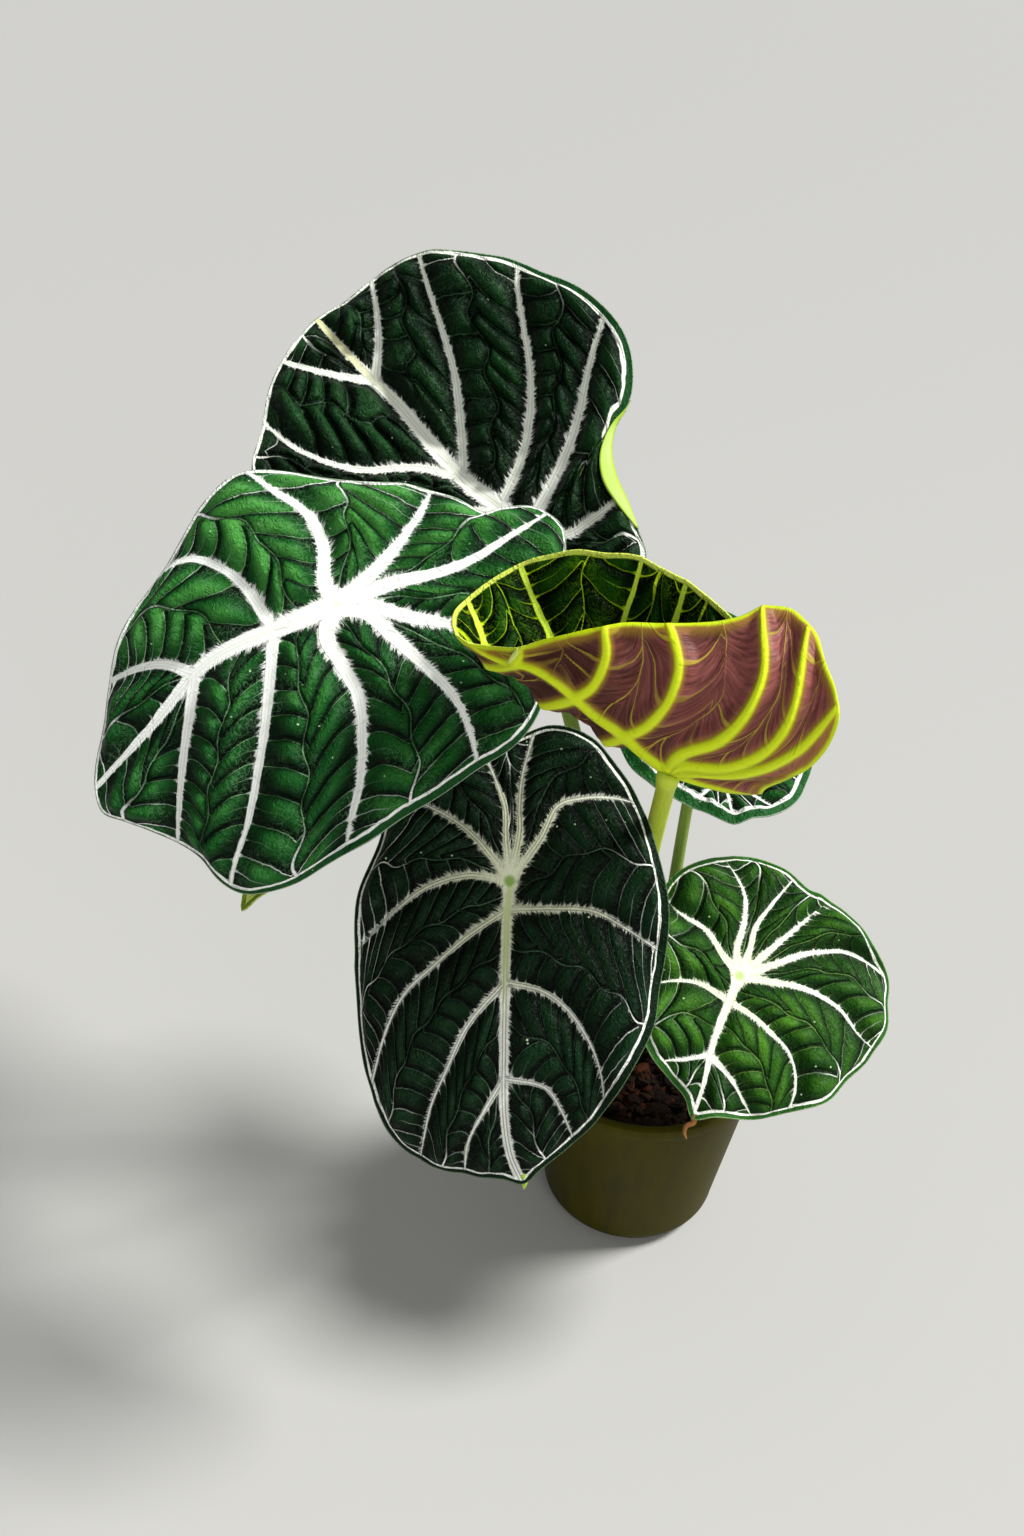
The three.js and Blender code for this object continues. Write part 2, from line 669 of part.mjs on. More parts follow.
function toGeometry(solid) {
  const mesh = solid.getMesh();
  return meshGeometry(Array.from(mesh.vertProperties), Array.from(mesh.triVerts));
}

// A round cutter that stands along a line.
function cutterAlong(from, way, length, radius) {
  const geometry = new THREE.CylinderGeometry(radius, radius, length, holeSides);
  geometry.translate(0, length / 2, 0);
  const turn = new THREE.Quaternion().setFromUnitVectors(new THREE.Vector3(0, 1, 0), way);
  geometry.applyQuaternion(turn);
  geometry.translate(from.x, from.y, from.z);
  return toSolid(geometry);
}

// A body turned round the upright axis from [radius, height] points.
function turned(profile, segments) {
  const points = profile.map(([radius, height]) => new THREE.Vector2(radius, height));
  return new THREE.LatheGeometry(points, segments).rotateX(Math.PI / 2);
}

// The outer radius of the pot's slanting wall.
const wallRadius = (height) => {
  const rise = (height - potCorner) / (potHeight - potRimDepth - potCorner);
  return lerp(potBaseRadius, potRimRadius - potRimStep, rise);
};

// The rounded foot of a wall, from its flat bottom up to its side.
const cornerPoints = (radius, height, round) => {
  const points = [];
  for (let i = 0; i <= cornerSteps; i += 1) {
    const angle = lerp(-Math.PI / 2, 0, i / cornerSteps);
    points.push([radius - round + round * Math.cos(angle), height + round + round * Math.sin(angle)]);
  }
  return points;
};

function potMesh() {
  const rimStart = potHeight - potRimDepth;
  const rimInner = potRimRadius - potRimWidth;
  const inner = cornerPoints(potBaseRadius - potWall, potFloor, potCorner - potWall).reverse();
  const profile = [
    [0, 0],
    ...cornerPoints(potBaseRadius, 0, potCorner),
    [wallRadius(rimStart), rimStart],
    [potRimRadius, rimStart + potRimRound],
    [potRimRadius, potHeight - potRimRound],
    [potRimRadius - potRimRound, potHeight],
    [rimInner + potRimRound, potHeight],
    [rimInner, potHeight - potRimRound],
    [wallRadius(rimStart) - potWall, rimStart],
    ...inner,
    [0, potFloor],
  ];
  let solid = toSolid(turned(profile, potSegments));
  for (let hole = 0; hole < drainHoleCount; hole += 1) {
    const angle = (2 * Math.PI * hole) / drainHoleCount;
    const from = new THREE.Vector3(Math.cos(angle), Math.sin(angle), 0).multiplyScalar(drainHoleRing);
    from.z = -seatGap;
    const up = new THREE.Vector3(0, 0, 1);
    solid = solid.subtract(cutterAlong(from, up, potFloor + 2 * seatGap, drainHoleRadius));
  }
  return namedMesh('pot', toGeometry(solid), colours.pot, roughness.pot);
}

// Lumps of bark: a few crossing waves make an uneven top.
function barkHeight(x, y) {
  const lumps = Math.sin(0.52 * x + 0.9 * Math.sin(0.21 * y)) * Math.sin(0.47 * y + 1.1);
  const grit = Math.sin(1.13 * x + 0.6) * Math.sin(0.97 * y - 0.4 * x);
  return barkBump * lerp(lumps, grit, 0.35);
}

function soilMesh() {
  const topRadius = wallRadius(soilTop) - potWall - seatGap;
  const bottom = potFloor + seatGap;
  const side = cornerPoints(potBaseRadius - potWall - seatGap, bottom, potCorner - potWall - seatGap);
  const profile = [[0, bottom], ...side, [topRadius, soilTop]];
  for (let ring = 1; ring <= soilRings; ring += 1) {
    profile.push([topRadius * (1 - ring / soilRings), soilTop + soilRingStep * ring]);
  }
  const body = turned(profile, soilSegments);
  const { position } = body.attributes;
  for (let i = 0; i < position.count; i += 1) {
    if (position.getZ(i) >= soilTop) {
      const [x, y] = [position.getX(i), position.getY(i)];
      const inward = clamp((topRadius - Math.hypot(x, y)) / barkEdge, 0, 1);
      position.setZ(i, soilTop + inward * barkHeight(x, y));
    }
  }
  let solid = toSolid(body);
  leaves.forEach((entry) => {
    const { start, way } = footOf(entry);
    const from = start.clone().addScaledVector(way, -seatGap);
    const radius = entry.leaf.stalkRadius + holeClearance;
    solid = solid.subtract(cutterAlong(from, way, straightFoot + seatGap, radius));
  });
  return namedMesh('soil', toGeometry(solid), colours.soil, roughness.soil);
}

const plant = new THREE.Group();
plant.name = 'potted_ninja_alocasia';
plant.add(potMesh());
plant.add(soilMesh());
leaves.forEach((entry) => {
  plant.add(bladeMesh(entry));
  plant.add(stalkMesh(entry));
});

export default plant;
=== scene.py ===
import math
from functools import partial

import bpy
import numpy as np
from mathutils import Matrix, Vector


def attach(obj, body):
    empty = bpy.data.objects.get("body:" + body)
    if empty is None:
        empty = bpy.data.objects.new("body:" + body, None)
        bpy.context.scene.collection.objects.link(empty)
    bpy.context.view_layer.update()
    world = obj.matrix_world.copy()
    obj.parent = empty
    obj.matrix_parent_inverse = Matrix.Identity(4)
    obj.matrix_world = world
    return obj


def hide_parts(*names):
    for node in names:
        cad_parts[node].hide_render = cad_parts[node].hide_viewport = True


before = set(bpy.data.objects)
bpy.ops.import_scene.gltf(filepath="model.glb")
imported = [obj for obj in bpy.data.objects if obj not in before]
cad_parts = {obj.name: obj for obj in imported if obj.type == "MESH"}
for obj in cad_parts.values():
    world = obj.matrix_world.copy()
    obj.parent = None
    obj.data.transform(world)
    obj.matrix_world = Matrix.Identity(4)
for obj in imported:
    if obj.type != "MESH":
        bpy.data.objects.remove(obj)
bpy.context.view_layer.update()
mm = 0.001  # sizes below are in millimetres, the scene is in metres
tiny = 1e-6
print("frame loaded")


def linear(hexColour):
    # an sRGB hex value such as "1f5a33" as the linear colour that nodes take
    parts = [int(hexColour[i:i + 2], 16) / 255 for i in (0, 2, 4)]
    return [p / 12.92 if p <= 0.04045 else ((p + 0.055) / 1.055) ** 2.4 for p in parts] + [1]


# what a kind in capitals means: the node, the setting that it goes into, the output and the inputs
nodeModes = {"SMOOTHSTEP": ("MapRange", "interpolation_type", 0, range(5)),
             "RGBA": ("Mix", "data_type", 2, (0, 6, 7))}
mathMode = ("Math", "operation", 0, range(3))


def addNode(tree, kind, links=(), out=0, **settings):
    # links holds a value or another node's output for each input, in order or by name
    if kind.isupper():
        mode = kind
        kind, setting, out, inputs = nodeModes.get(mode, mathMode)
        settings[setting] = mode
        links = dict(zip(inputs, links))
    made = tree.nodes.new("ShaderNode" + kind)
    for name, value in settings.items():
        setattr(made, name, value)
    for socket, value in links.items() if isinstance(links, dict) else enumerate(links):
        if isinstance(value, bpy.types.NodeSocket):
            tree.links.new(value, made.inputs[socket])
        else:
            made.inputs[socket].default_value = linear(value) if isinstance(value, str) else value
    return made.outputs[out] if len(made.outputs) else made


def newMaterial(name):
    # an empty material, with addNode tied to its tree
    material = bpy.data.materials.new(name)
    material.use_nodes = True
    material.node_tree.nodes.clear()
    return material, partial(addNode, material.node_tree)


def layered(add, colour, layers):
    # lays each tint over the colour so far, by its mask times its strength
    for mask, strength, tint in layers:
        colour = add("RGBA", [add("MULTIPLY", [mask, strength]), colour, tint])
    return colour


def summed(add, parts):
    total = 0.0
    for part, weight in parts:
        total = add("MULTIPLY_ADD", [part, weight, total])
    return total


def finishMaterial(add, lift, strength, distance, surface):
    # the relief, the surface itself and the output
    bump = add("Bump", {"Strength": strength, "Distance": distance, "Height": lift})
    add("OutputMaterial", [add("BsdfPrincipled", surface | {"Normal": bump})])


def select(piece):
    bpy.ops.object.select_all(action="DESELECT")
    piece.select_set(True)
    bpy.context.view_layer.objects.active = piece


def added(operator, **settings):
    # the object that an adding operator makes, with nothing else selected
    bpy.ops.object.select_all(action="DESELECT")
    operator(**settings)
    return bpy.context.object


selectAll = partial(bpy.ops.mesh.select_all, action="SELECT")
joinDoubles = partial(bpy.ops.mesh.remove_doubles, threshold=tiny)
turnOutwards = partial(bpy.ops.mesh.normals_make_consistent, inside=False)


def inEditMode(piece, *steps):
    # runs the steps in turn, starting with all of the mesh selected
    select(piece)
    bpy.ops.object.mode_set(mode="EDIT")
    selectAll()
    for step in steps:
        step()
    bpy.ops.object.mode_set(mode="OBJECT")


def applyPlace(piece):
    select(piece)
    bpy.ops.object.transform_apply(location=True, rotation=True, scale=True)


def applyAll(piece):
    select(piece)
    for modifier in list(piece.modifiers):
        bpy.ops.object.modifier_apply(modifier=modifier.name)


def placePoints(piece, points):
    # points are in millimetres
    piece.data.vertices.foreach_set("co", (np.asarray(points) * mm).ravel())


def setAttribute(piece, name, values, kind="FLOAT", domain="POINT"):
    data = piece.data.attributes.new(name, kind, domain).data
    data.foreach_set("value" if kind == "FLOAT" else "vector", np.asarray(values, np.float32).ravel())


def smoothed(piece, materials, sharpAngle=None):
    # gives the piece its materials and smooth faces; edges over the sharp angle stay crisp
    for material in materials:
        piece.data.materials.append(material)
    select(piece)
    if sharpAngle is None:
        bpy.ops.object.shade_smooth()
    else:
        bpy.ops.object.shade_smooth_by_angle(angle=math.radians(sharpAngle))


def finishPiece(piece, name, slot, *nodes):
    # the piece takes its place in the frame and stands for the plain solids
    piece.name = name
    piece.data.name = name
    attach(piece, "root")
    if nodes:
        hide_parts(*nodes)


# A leaf is drawn flat first: u runs from the place where the stalk joins to the tip, v runs
# sideways. hub, tipWay and faceWay place that flat sheet, and the bend values curl it.
# margin goes round the leaf from the tip, over the plus side, the back and the minus side.
backLeaf = {
    "hub": [-53, 48, 245], "tipWay": [-0.68, 0.63, 0.37], "faceWay": [-0.12, -0.6, 0.79],
    "bend": {"front": -0.003, "back": 0, "plus": -0.006, "minus": -0.004, "plusFold": -6, "minusFold": -4},
    "wave": {"depth": 1.6, "count": 7, "start": 0.4}, "veinDepth": 1.1, "veinWidth": 5, "stalkRadius": 2.9,
    "midrib": [[0, 0], [12, -1], [25, 1], [40, 1], [62, 0], [78, 1], [102, 2]],
    "margin": [
        [102, 2], [100, 10], [97, 20], [91, 31], [81, 42], [69, 56], [55, 62], [40, 66], [25, 66],
        [10, 64], [-5, 59], [-18, 50], [-28, 38], [-35, 24], [-38, 8], [-37, -8], [-35, -22], [-26, -27],
        [-17, -31], [-9, -34], [-1, -39], [5, -46], [8, -55], [15, -63], [23, -68], [31, -70], [43, -70],
        [53, -68], [63, -64], [73, -60], [81, -54], [88, -48], [95, -41], [99, -32], [101, -21], [101, -9],
    ],
    "pairs": [
        {"foot": 73, "plus": [[82, 9], [90, 16], [97, 22]], "minus": [[83, -9], [91, -15], [101, -21]]},
        {"foot": 28, "plus": [[40, 10], [52, 27], [68, 37], [83, 40]],
         "minus": [[34, -4], [46, -13], [58, -21], [73, -28], [85, -33], [96, -38]]},
        {"foot": 12, "plus": [[20, 14], [32, 28], [46, 40], [58, 50], [66, 58]],
         "minus": [[19, -16], [27, -27], [40, -39], [54, -48], [65, -55], [72, -61]]},
    ],
    "hubVeins": [
        [[4, 14], [10, 30], [18, 44], [26, 56], [34, 66]], [[-8, 12], [-12, 26], [-13, 42], [-12, 55]],
        [[-16, 6], [-26, 14], [-34, 26]], [[-18, -4], [-28, -8], [-37, -10]],
        [[-11, -10], [-13, -18], [-15, -32]], [[3, -11], [9, -26], [16, -39], [26, -53], [36, -70]],
    ],
}

leftLeaf = {
    "hub": [-103, -25, 254], "tipWay": [-0.79, -0.45, -0.42], "faceWay": [0.06, -0.74, 0.67],
    "bend": {"front": 0.006, "back": 0.002, "plus": 0.003, "minus": 0.003, "plusFold": 0, "minusFold": 0},
    "wave": {"depth": 2.4, "count": 8, "start": 1.2}, "veinDepth": 1.3, "veinWidth": 6.5,
    "stalkRadius": 3.2,
    "midrib": [[0, 0], [15, -3], [38, -7], [62, -2], [86, 2]],
    "margin": [
        [86, 2], [88, 9], [85, 14], [82, 19], [77, 28], [73, 35], [71, 45], [68, 50], [62, 54], [54, 57],
        [43, 58], [30, 59], [18, 59], [6, 60], [-8, 60], [-19, 60], [-28, 57], [-38, 50], [-50, 38],
        [-60, 26], [-66, 15], [-63, 6], [-55, 1], [-51, 0], [-46, -7], [-40, -13], [-35, -18], [-28, -24],
        [-20, -32], [-11, -40], [0, -46], [15, -45], [26, -41], [36, -36], [46, -31], [58, -25], [66, -20],
        [76, -10],
    ],
    "pairs": [
        {"foot": 43, "plus": [[51, 2], [56, 7], [64, 15], [70, 21], [77, 28]],
         "minus": [[49, -14], [57, -18], [65, -20]]},
        {"foot": 18, "plus": [[29, 10], [36, 18], [45, 27], [55, 36], [64, 42], [70, 47]],
         "minus": [[18, -19], [21, -28], [26, -34], [33, -36], [42, -34]]},
    ],
    "hubVeins": [
        [[7, 6], [8, 15], [9, 24], [15, 35], [22, 44], [30, 51], [38, 59]],
        [[-6, 7], [-8, 16], [-11, 28], [-13, 39], [-12, 48], [-8, 60]],
        [[-8, 6], [-15, 14], [-25, 23], [-38, 34], [-47, 42]],
        [[-9, 2], [-18, 4], [-29, 8], [-40, 10], [-50, 10], [-65, 10]],
        [[-8, -1], [-18, -3], [-27, -6], [-34, -9], [-41, -13]],
        [[-1, -7], [-6, -15], [-8, -23], [-7, -30], [-4, -37], [-1, -46]],
    ],
}

newLeaf = {
    "hub": [-14, -70, 236], "tipWay": [-0.92, 0.345, 0.184], "faceWay": [0.196, 0, 0.981],
    "bend": {"front": -0.006, "back": -0.01, "plus": -0.035, "minus": -0.029, "plusFold": -50,
             "minusFold": -10},
    "wave": {"depth": 0.5, "count": 6, "start": 0.9}, "veinDepth": 1.0, "veinWidth": 4.4,
    "stalkRadius": 3.4,
    "midrib": [[-3, 0], [6, 5], [12, 8], [21, 10], [28, 12], [35, 13], [42, 12], [50, 7], [60, 2]],
    "margin": [
        [60, 2], [55, 7], [49, 13], [43, 21], [37, 27], [31, 32], [25, 36], [13, 41], [1, 46], [-9, 50],
        [-18, 55], [-29, 56], [-36, 53], [-43, 48], [-47, 41], [-51, 34], [-52, 28], [-48, 21], [-41, 14],
        [-34, 9], [-28, 3], [-27, -5], [-31, -14], [-34, -24], [-29, -34], [-19, -41], [-7, -45], [4, -49],
        [15, -51], [27, -51], [37, -50], [45, -46], [53, -42], [58, -37], [63, -31], [66, -24], [68, -15],
        [68, -6], [65, -1],
    ],
    "pairs": [
        {"foot": 46, "plus": [[46, 13], [47, 16]], "minus": [[51, 1], [59, -7], [68, -12]]},
        {"foot": 27, "plus": [[24, 19], [25, 27], [30, 33]],
         "minus": [[34, 0], [43, -18], [50, -22], [64, -29]]},
        {"foot": 11, "plus": [[6, 15], [3, 24], [4, 32], [8, 37], [13, 41]],
         "minus": [[20, -10], [29, -34], [31, -42], [34, -51]]},
    ],
    "hubVeins": [
        [[-5, 10], [-16, 19], [-23, 29], [-25, 38], [-17, 54]],
        [[-6, 6], [-17, 10], [-28, 17], [-35, 25], [-38, 33], [-39, 50]],
        [[-10, 5], [-21, 9], [-37, 18], [-46, 25], [-52, 30]], [[-10, 0], [-18, 0], [-27, -1]],
        [[-9, -8], [-19, -18], [-32, -30]], [[-2, -14], [-2, -30], [-1, -47]],
        [[6, -12], [12, -28], [17, -51]],
    ],
}

frontLeaf = {
    "hub": [-51, -61, 189], "tipWay": [0.06, -0.718, -0.694], "faceWay": [-0.161, -0.693, 0.703],
    "bend": {"front": 0.006, "back": -0.001, "plus": 0.004, "minus": 0.004, "plusFold": 0, "minusFold": 0},
    "wave": {"depth": 1.8, "count": 7, "start": 2.1}, "veinDepth": 1.1, "veinWidth": 4.4, "stalkRadius": 3,
    "midrib": [[0, 0], [12, -1], [30, -2], [47, -3], [66, -4], [78, -3], [86, 0]],
    "margin": [
        [86, 0], [82, 5], [75, 15], [68, 22], [61, 27], [50, 34], [41, 39], [31, 41], [22, 43], [8, 44],
        [-5, 42], [-17, 39], [-26, 35], [-33, 30], [-39, 25], [-43, 18], [-44, 11], [-42, 4], [-40, -2],
        [-42, -9], [-41, -19], [-35, -28], [-25, -35], [-13, -39], [1, -44], [13, -45], [25, -46],
        [39, -46], [51, -44], [62, -41], [72, -38], [79, -33], [83, -26], [84, -15], [84, -6],
    ],
    "pairs": [
        {"foot": 55, "plus": [[58, 8], [65, 12], [75, 15]], "minus": [[65, -10], [74, -15], [84, -17]]},
        {"foot": 28, "plus": [[31, 9], [37, 16], [48, 22], [57, 24], [66, 24]],
         "minus": [[40, -13], [53, -20], [63, -25], [80, -30]]},
        {"foot": 8, "plus": [[8, 12], [9, 23], [14, 32], [22, 43]],
         "minus": [[15, -12], [23, -22], [31, -31], [42, -37], [58, -42]]},
    ],
    "hubVeins": [
        [[-12, 9], [-21, 14], [-23, 21], [-23, 29], [-21, 37]], [[-14, 3], [-21, 3], [-30, 4], [-44, 8]],
        [[-13, -1], [-20, -1], [-27, -3], [-42, -9]],
        [[-7, -5], [-13, -10], [-18, -16], [-23, -25], [-27, -34]],
        [[-2, -12], [1, -24], [7, -33], [19, -46]],
    ],
}

rightLeaf = {
    "hub": [23, -34, 135], "tipWay": [-0.26, -0.85, -0.45], "faceWay": [0.16, -0.5, 0.85],
    "bend": {"front": 0.009, "back": 0, "plus": 0.004, "minus": 0.004, "plusFold": 0, "minusFold": 0},
    "wave": {"depth": 2.0, "count": 8, "start": 0.5}, "veinDepth": 1.1, "veinWidth": 4.8,
    "stalkRadius": 2.7,
    "midrib": [[0, 0], [8, -1], [18, -2], [27, -2], [37, -1], [47, -1]],
    "margin": [
        [47, -1], [44, 5], [41, 18], [38, 23], [33, 30], [27, 38], [19, 43], [12, 47], [5, 49], [-3, 51],
        [-12, 51], [-20, 50], [-27, 40], [-33, 34], [-37, 27], [-38, 20], [-37, 14], [-40, 7], [-42, -4],
        [-40, -11], [-34, -20], [-27, -28], [-20, -31], [-9, -31], [1, -30], [11, -29], [20, -27],
        [27, -25], [33, -20], [38, -12], [42, -5],
    ],
    "pairs": [
        {"foot": 27, "plus": [[32, 7], [37, 13], [41, 18]], "minus": [[31, -9], [34, -15], [36, -16]]},
        {"foot": 9, "plus": [[11, 8], [14, 15], [17, 21], [22, 25], [28, 27], [35, 27]],
         "minus": [[7, -12], [9, -20], [14, -28]]},
    ],
    "hubVeins": [
        [[-2, 10], [-4, 19], [-4, 27], [-2, 35], [3, 42], [6, 49]],
        [[-9, 11], [-15, 18], [-19, 25], [-22, 32], [-22, 41], [-20, 50]],
        [[-10, 6], [-18, 11], [-26, 16], [-32, 20], [-36, 24]], [[-10, 1], [-18, 1], [-27, 4], [-39, 9]],
        [[-8, -3], [-18, -3], [-27, -5], [-32, -9], [-37, -15]],
        [[-5, -7], [-11, -14], [-14, -24], [-19, -33]],
    ],
}

middleLeaf = {
    "hub": [11, 29, 193], "tipWay": [0.22, -0.87, -0.45], "faceWay": [0.05, -0.45, 0.89],
    "bend": {"front": 0.004, "back": 0.002, "plus": 0.004, "minus": 0.004, "plusFold": 0, "minusFold": 0},
    "wave": {"depth": 1.0, "count": 6, "start": 0}, "veinDepth": 0.8, "veinWidth": 3.4, "stalkRadius": 2.4,
    "midrib": [[0, 0], [10, 0], [20, 0], [30, 0], [40, 0]],
    "margin": [
        [40, 0], [39, 6], [39, 12], [35, 22], [28, 28], [20, 32], [8, 34], [-4, 34], [-16, 32], [-28, 27],
        [-38, 21], [-43, 14], [-42, 4], [-42, -5], [-40, -14], [-34, -23], [-23, -29], [-8, -32], [6, -31],
        [16, -29], [23, -24], [30, -16], [35, -8],
    ],
    "pairs": [
        {"foot": 24, "plus": [[30, 7], [35, 13], [37, 17]], "minus": [[28, -7], [31, -11], [33, -12]]},
        {"foot": 10, "plus": [[16, 10], [23, 20], [29, 27]], "minus": [[15, -8], [19, -16], [24, -23]]},
    ],
    "hubVeins": [
        [[4, 10], [7, 20], [11, 34]], [[-6, 8], [-11, 18], [-14, 32]], [[-10, 3], [-22, 8], [-36, 22]],
        [[-10, -2], [-26, -4], [-42, -6]], [[-7, -7], [-17, -15], [-29, -26]],
        [[2, -10], [4, -20], [7, -31]],
    ],
}

youngLeaf = {
    "hub": [-106, -20, 199], "tipWay": [-0.48, -0.62, -0.62], "faceWay": [-0.15, -0.6, 0.79],
    "bend": {"front": 0.004, "back": 0.002, "plus": -0.02, "minus": -0.02, "plusFold": -6, "minusFold": -6},
    "wave": {"depth": 0.4, "count": 5, "start": 0}, "veinDepth": 0.6, "veinWidth": 2.8, "stalkRadius": 2.1,
    "midrib": [[0, 0], [12, 0], [26, 0], [40, 0], [52, 0]],
    "margin": [
        [52, 0], [46, 3], [40, 7], [30, 13], [18, 16], [6, 17], [-6, 15], [-15, 11], [-20, 5], [-19, 0],
        [-20, -5], [-15, -11], [-6, -15], [6, -17], [18, -16], [30, -13], [40, -7], [46, -3],
    ],
    "pairs": [
        {"foot": 22, "plus": [[27, 5], [32, 9], [36, 10]], "minus": [[27, -5], [32, -9], [36, -10]]},
        {"foot": 8, "plus": [[14, 7], [19, 12], [23, 15]], "minus": [[14, -7], [19, -12], [23, -15]]},
    ],
    "hubVeins": [
        [[1, 6], [4, 12], [7, 17]], [[-5, 3], [-11, 7], [-16, 10]], [[-6, 0], [-12, 0], [-19, 0]],
        [[-5, -3], [-11, -7], [-16, -10]], [[1, -6], [4, -12], [7, -17]],
    ],
}


creaseHalf = 2  # the fold over the midrib swings over within this distance
rimSteps = 720  # places along the margin where a vein may end
tipPoints = 9  # points of the midrib's last stretch, which counts as the first vein
far = 1e9
depthRange = (-60, 30)  # keeps the sum over the veins within what a float can hold


def smoothCurve(points, closed=False, steps=20):
    # a smooth chain of points with its running length, from a few set points
    p = np.array(points, float)
    if closed:
        p = np.vstack([p[-1], p, p[0], p[1]])
    else:
        p = np.vstack([2 * p[0] - p[1], p, 2 * p[-1] - p[-2]])
    chain = []
    for a, b, c, d in zip(p, p[1:], p[2:], p[3:]):
        ab, bc, cd = [max(np.linalg.norm(y - x), tiny) ** 0.5 for x, y in ((a, b), (b, c), (c, d))]
        leave = ((b - a) / ab - (c - a) / (ab + bc) + (c - b) / bc) * bc
        arrive = ((c - b) / bc - (d - b) / (bc + cd) + (d - c) / cd) * bc
        t = (np.arange(steps) / steps)[:, None]
        bend = (3 * (c - b) - 2 * leave - arrive) * t ** 2 + (2 * (b - c) + leave + arrive) * t ** 3
        chain.append(b + leave * t + bend)
    chain.append(p[1 if closed else -2][None])
    chain = np.vstack(chain)
    return {"chain": chain, "run": runAlong(chain)}


def runAlong(path):
    # the length of the path up to each of its points
    return np.concatenate([[0], np.cumsum(np.linalg.norm(np.diff(path, axis=0), axis=1))])


def readCurve(curve, share):
    # points at these shares of the curve's length
    at = np.asarray(share) * curve["run"][-1]
    return np.stack([np.interp(at, curve["run"], curve["chain"][:, k]) for k in (0, 1)], -1)


def nearestOn(curve, points):
    # each point's distance to the curve, and how far along it that is
    gap = np.full(len(points), far)
    along = np.zeros(len(points))
    for start, end, run in zip(curve["chain"], curve["chain"][1:], curve["run"]):
        step = end - start
        size = step @ step
        if size < tiny ** 2:
            continue
        share = np.clip((points - start) @ step / size, 0, 1)
        here = np.linalg.norm(points - start - share[:, None] * step, axis=1)
        closer = here < gap
        gap[closer] = here[closer]
        along[closer] = run + share[closer] * math.sqrt(size)
    return gap, along


def veinsOf(leaf):
    # the veins in order round the leaf, each with its foot and its share of the margin
    midrib = smoothCurve(leaf["midrib"])
    margin = smoothCurve(leaf["margin"], closed=True)
    rimShares = np.arange(rimSteps) / rimSteps
    rimPoints = readCurve(margin, rimShares)

    def onMidrib(u):
        return np.interp(u, midrib["chain"][:, 0], midrib["run"]) / midrib["run"][-1]

    lastFoot = onMidrib(leaf["pairs"][0]["foot"])
    tip = readCurve(midrib, lastFoot + (1 - lastFoot) * np.linspace(0, 1, tipPoints))
    veins = [{"curve": smoothCurve(tip), "foot": tip[0], "at": 0.0}]
    feet = [readCurve(midrib, onMidrib(pair["foot"])) for pair in leaf["pairs"]]
    plus = [(foot, pair["plus"]) for foot, pair in zip(feet, leaf["pairs"])]
    minus = [(foot, pair["minus"]) for foot, pair in zip(feet, leaf["pairs"])]
    hubVeins = [(leaf["midrib"][0], points) for points in leaf["hubVeins"]]
    for foot, points in plus + hubVeins + minus[::-1]:
        curve = smoothCurve([foot, *points])
        at = rimShares[np.argmin(np.linalg.norm(rimPoints - curve["chain"][-1], axis=1))]
        veins.append({"curve": curve, "foot": np.array(foot, float), "at": at})
    return veins, margin, midrib


def onLeaf(leaf, u, v, height):
    # flat points, lifted by height over the sheet, at their place on the curled leaf, in mm
    along = Vector(leaf["tipWay"]).normalized()
    face = Vector(leaf["faceWay"])
    face = (face - along * face.dot(along)).normalized()
    across = np.array(face.cross(along))
    along, face = np.array(along), np.array(face)
    bend = leaf["bend"]
    u, v = np.asarray(u, float), np.asarray(v, float)
    rate = np.where(u >= 0, bend["front"], bend["back"])
    straight = np.abs(rate) < tiny
    safe = np.where(straight, 1, rate)
    forward = np.where(straight, u, np.sin(rate * u) / safe)
    drop = np.where(straight, 0, (1 - np.cos(rate * u)) / safe)
    turn = (rate * u)[..., None]
    turnedFace = face * np.cos(turn) + along * np.sin(turn)

    def sideTurn(w):
        fold = np.radians(np.where(w >= 0, bend["plusFold"], bend["minusFold"]))
        return fold, np.where(w >= 0, bend["plus"], bend["minus"]), np.where(w >= 0, 1, -1)

    fold, sideRate, side = sideTurn(v)
    whole = fold + sideRate * np.abs(v)
    out = (np.sin(whole) - np.sin(fold)) / sideRate
    down = (np.cos(fold) - np.cos(whole)) / sideRate
    low, top = [s * (f + r * creaseHalf) for f, r, s in (sideTurn(-creaseHalf), sideTurn(creaseHalf))]
    share = np.clip((v + creaseHalf) / (2 * creaseHalf), 0, 1)
    swing = np.where(np.abs(v) >= creaseHalf, side * whole, low + (top - low) * share)
    normal = turnedFace * np.cos(swing)[..., None] + across * np.sin(swing)[..., None]
    normal /= np.linalg.norm(normal, axis=-1, keepdims=True)
    point = np.array(leaf["hub"], float) + along * forward[..., None] - face * drop[..., None]
    point = point + across * (side * out)[..., None] - turnedFace * down[..., None]
    return point + normal * np.asarray(height)[..., None], normal


def smoothStep(low, high, x):
    t = np.clip((x - low) / (high - low), 0, 1)
    return t * t * (3 - 2 * t)


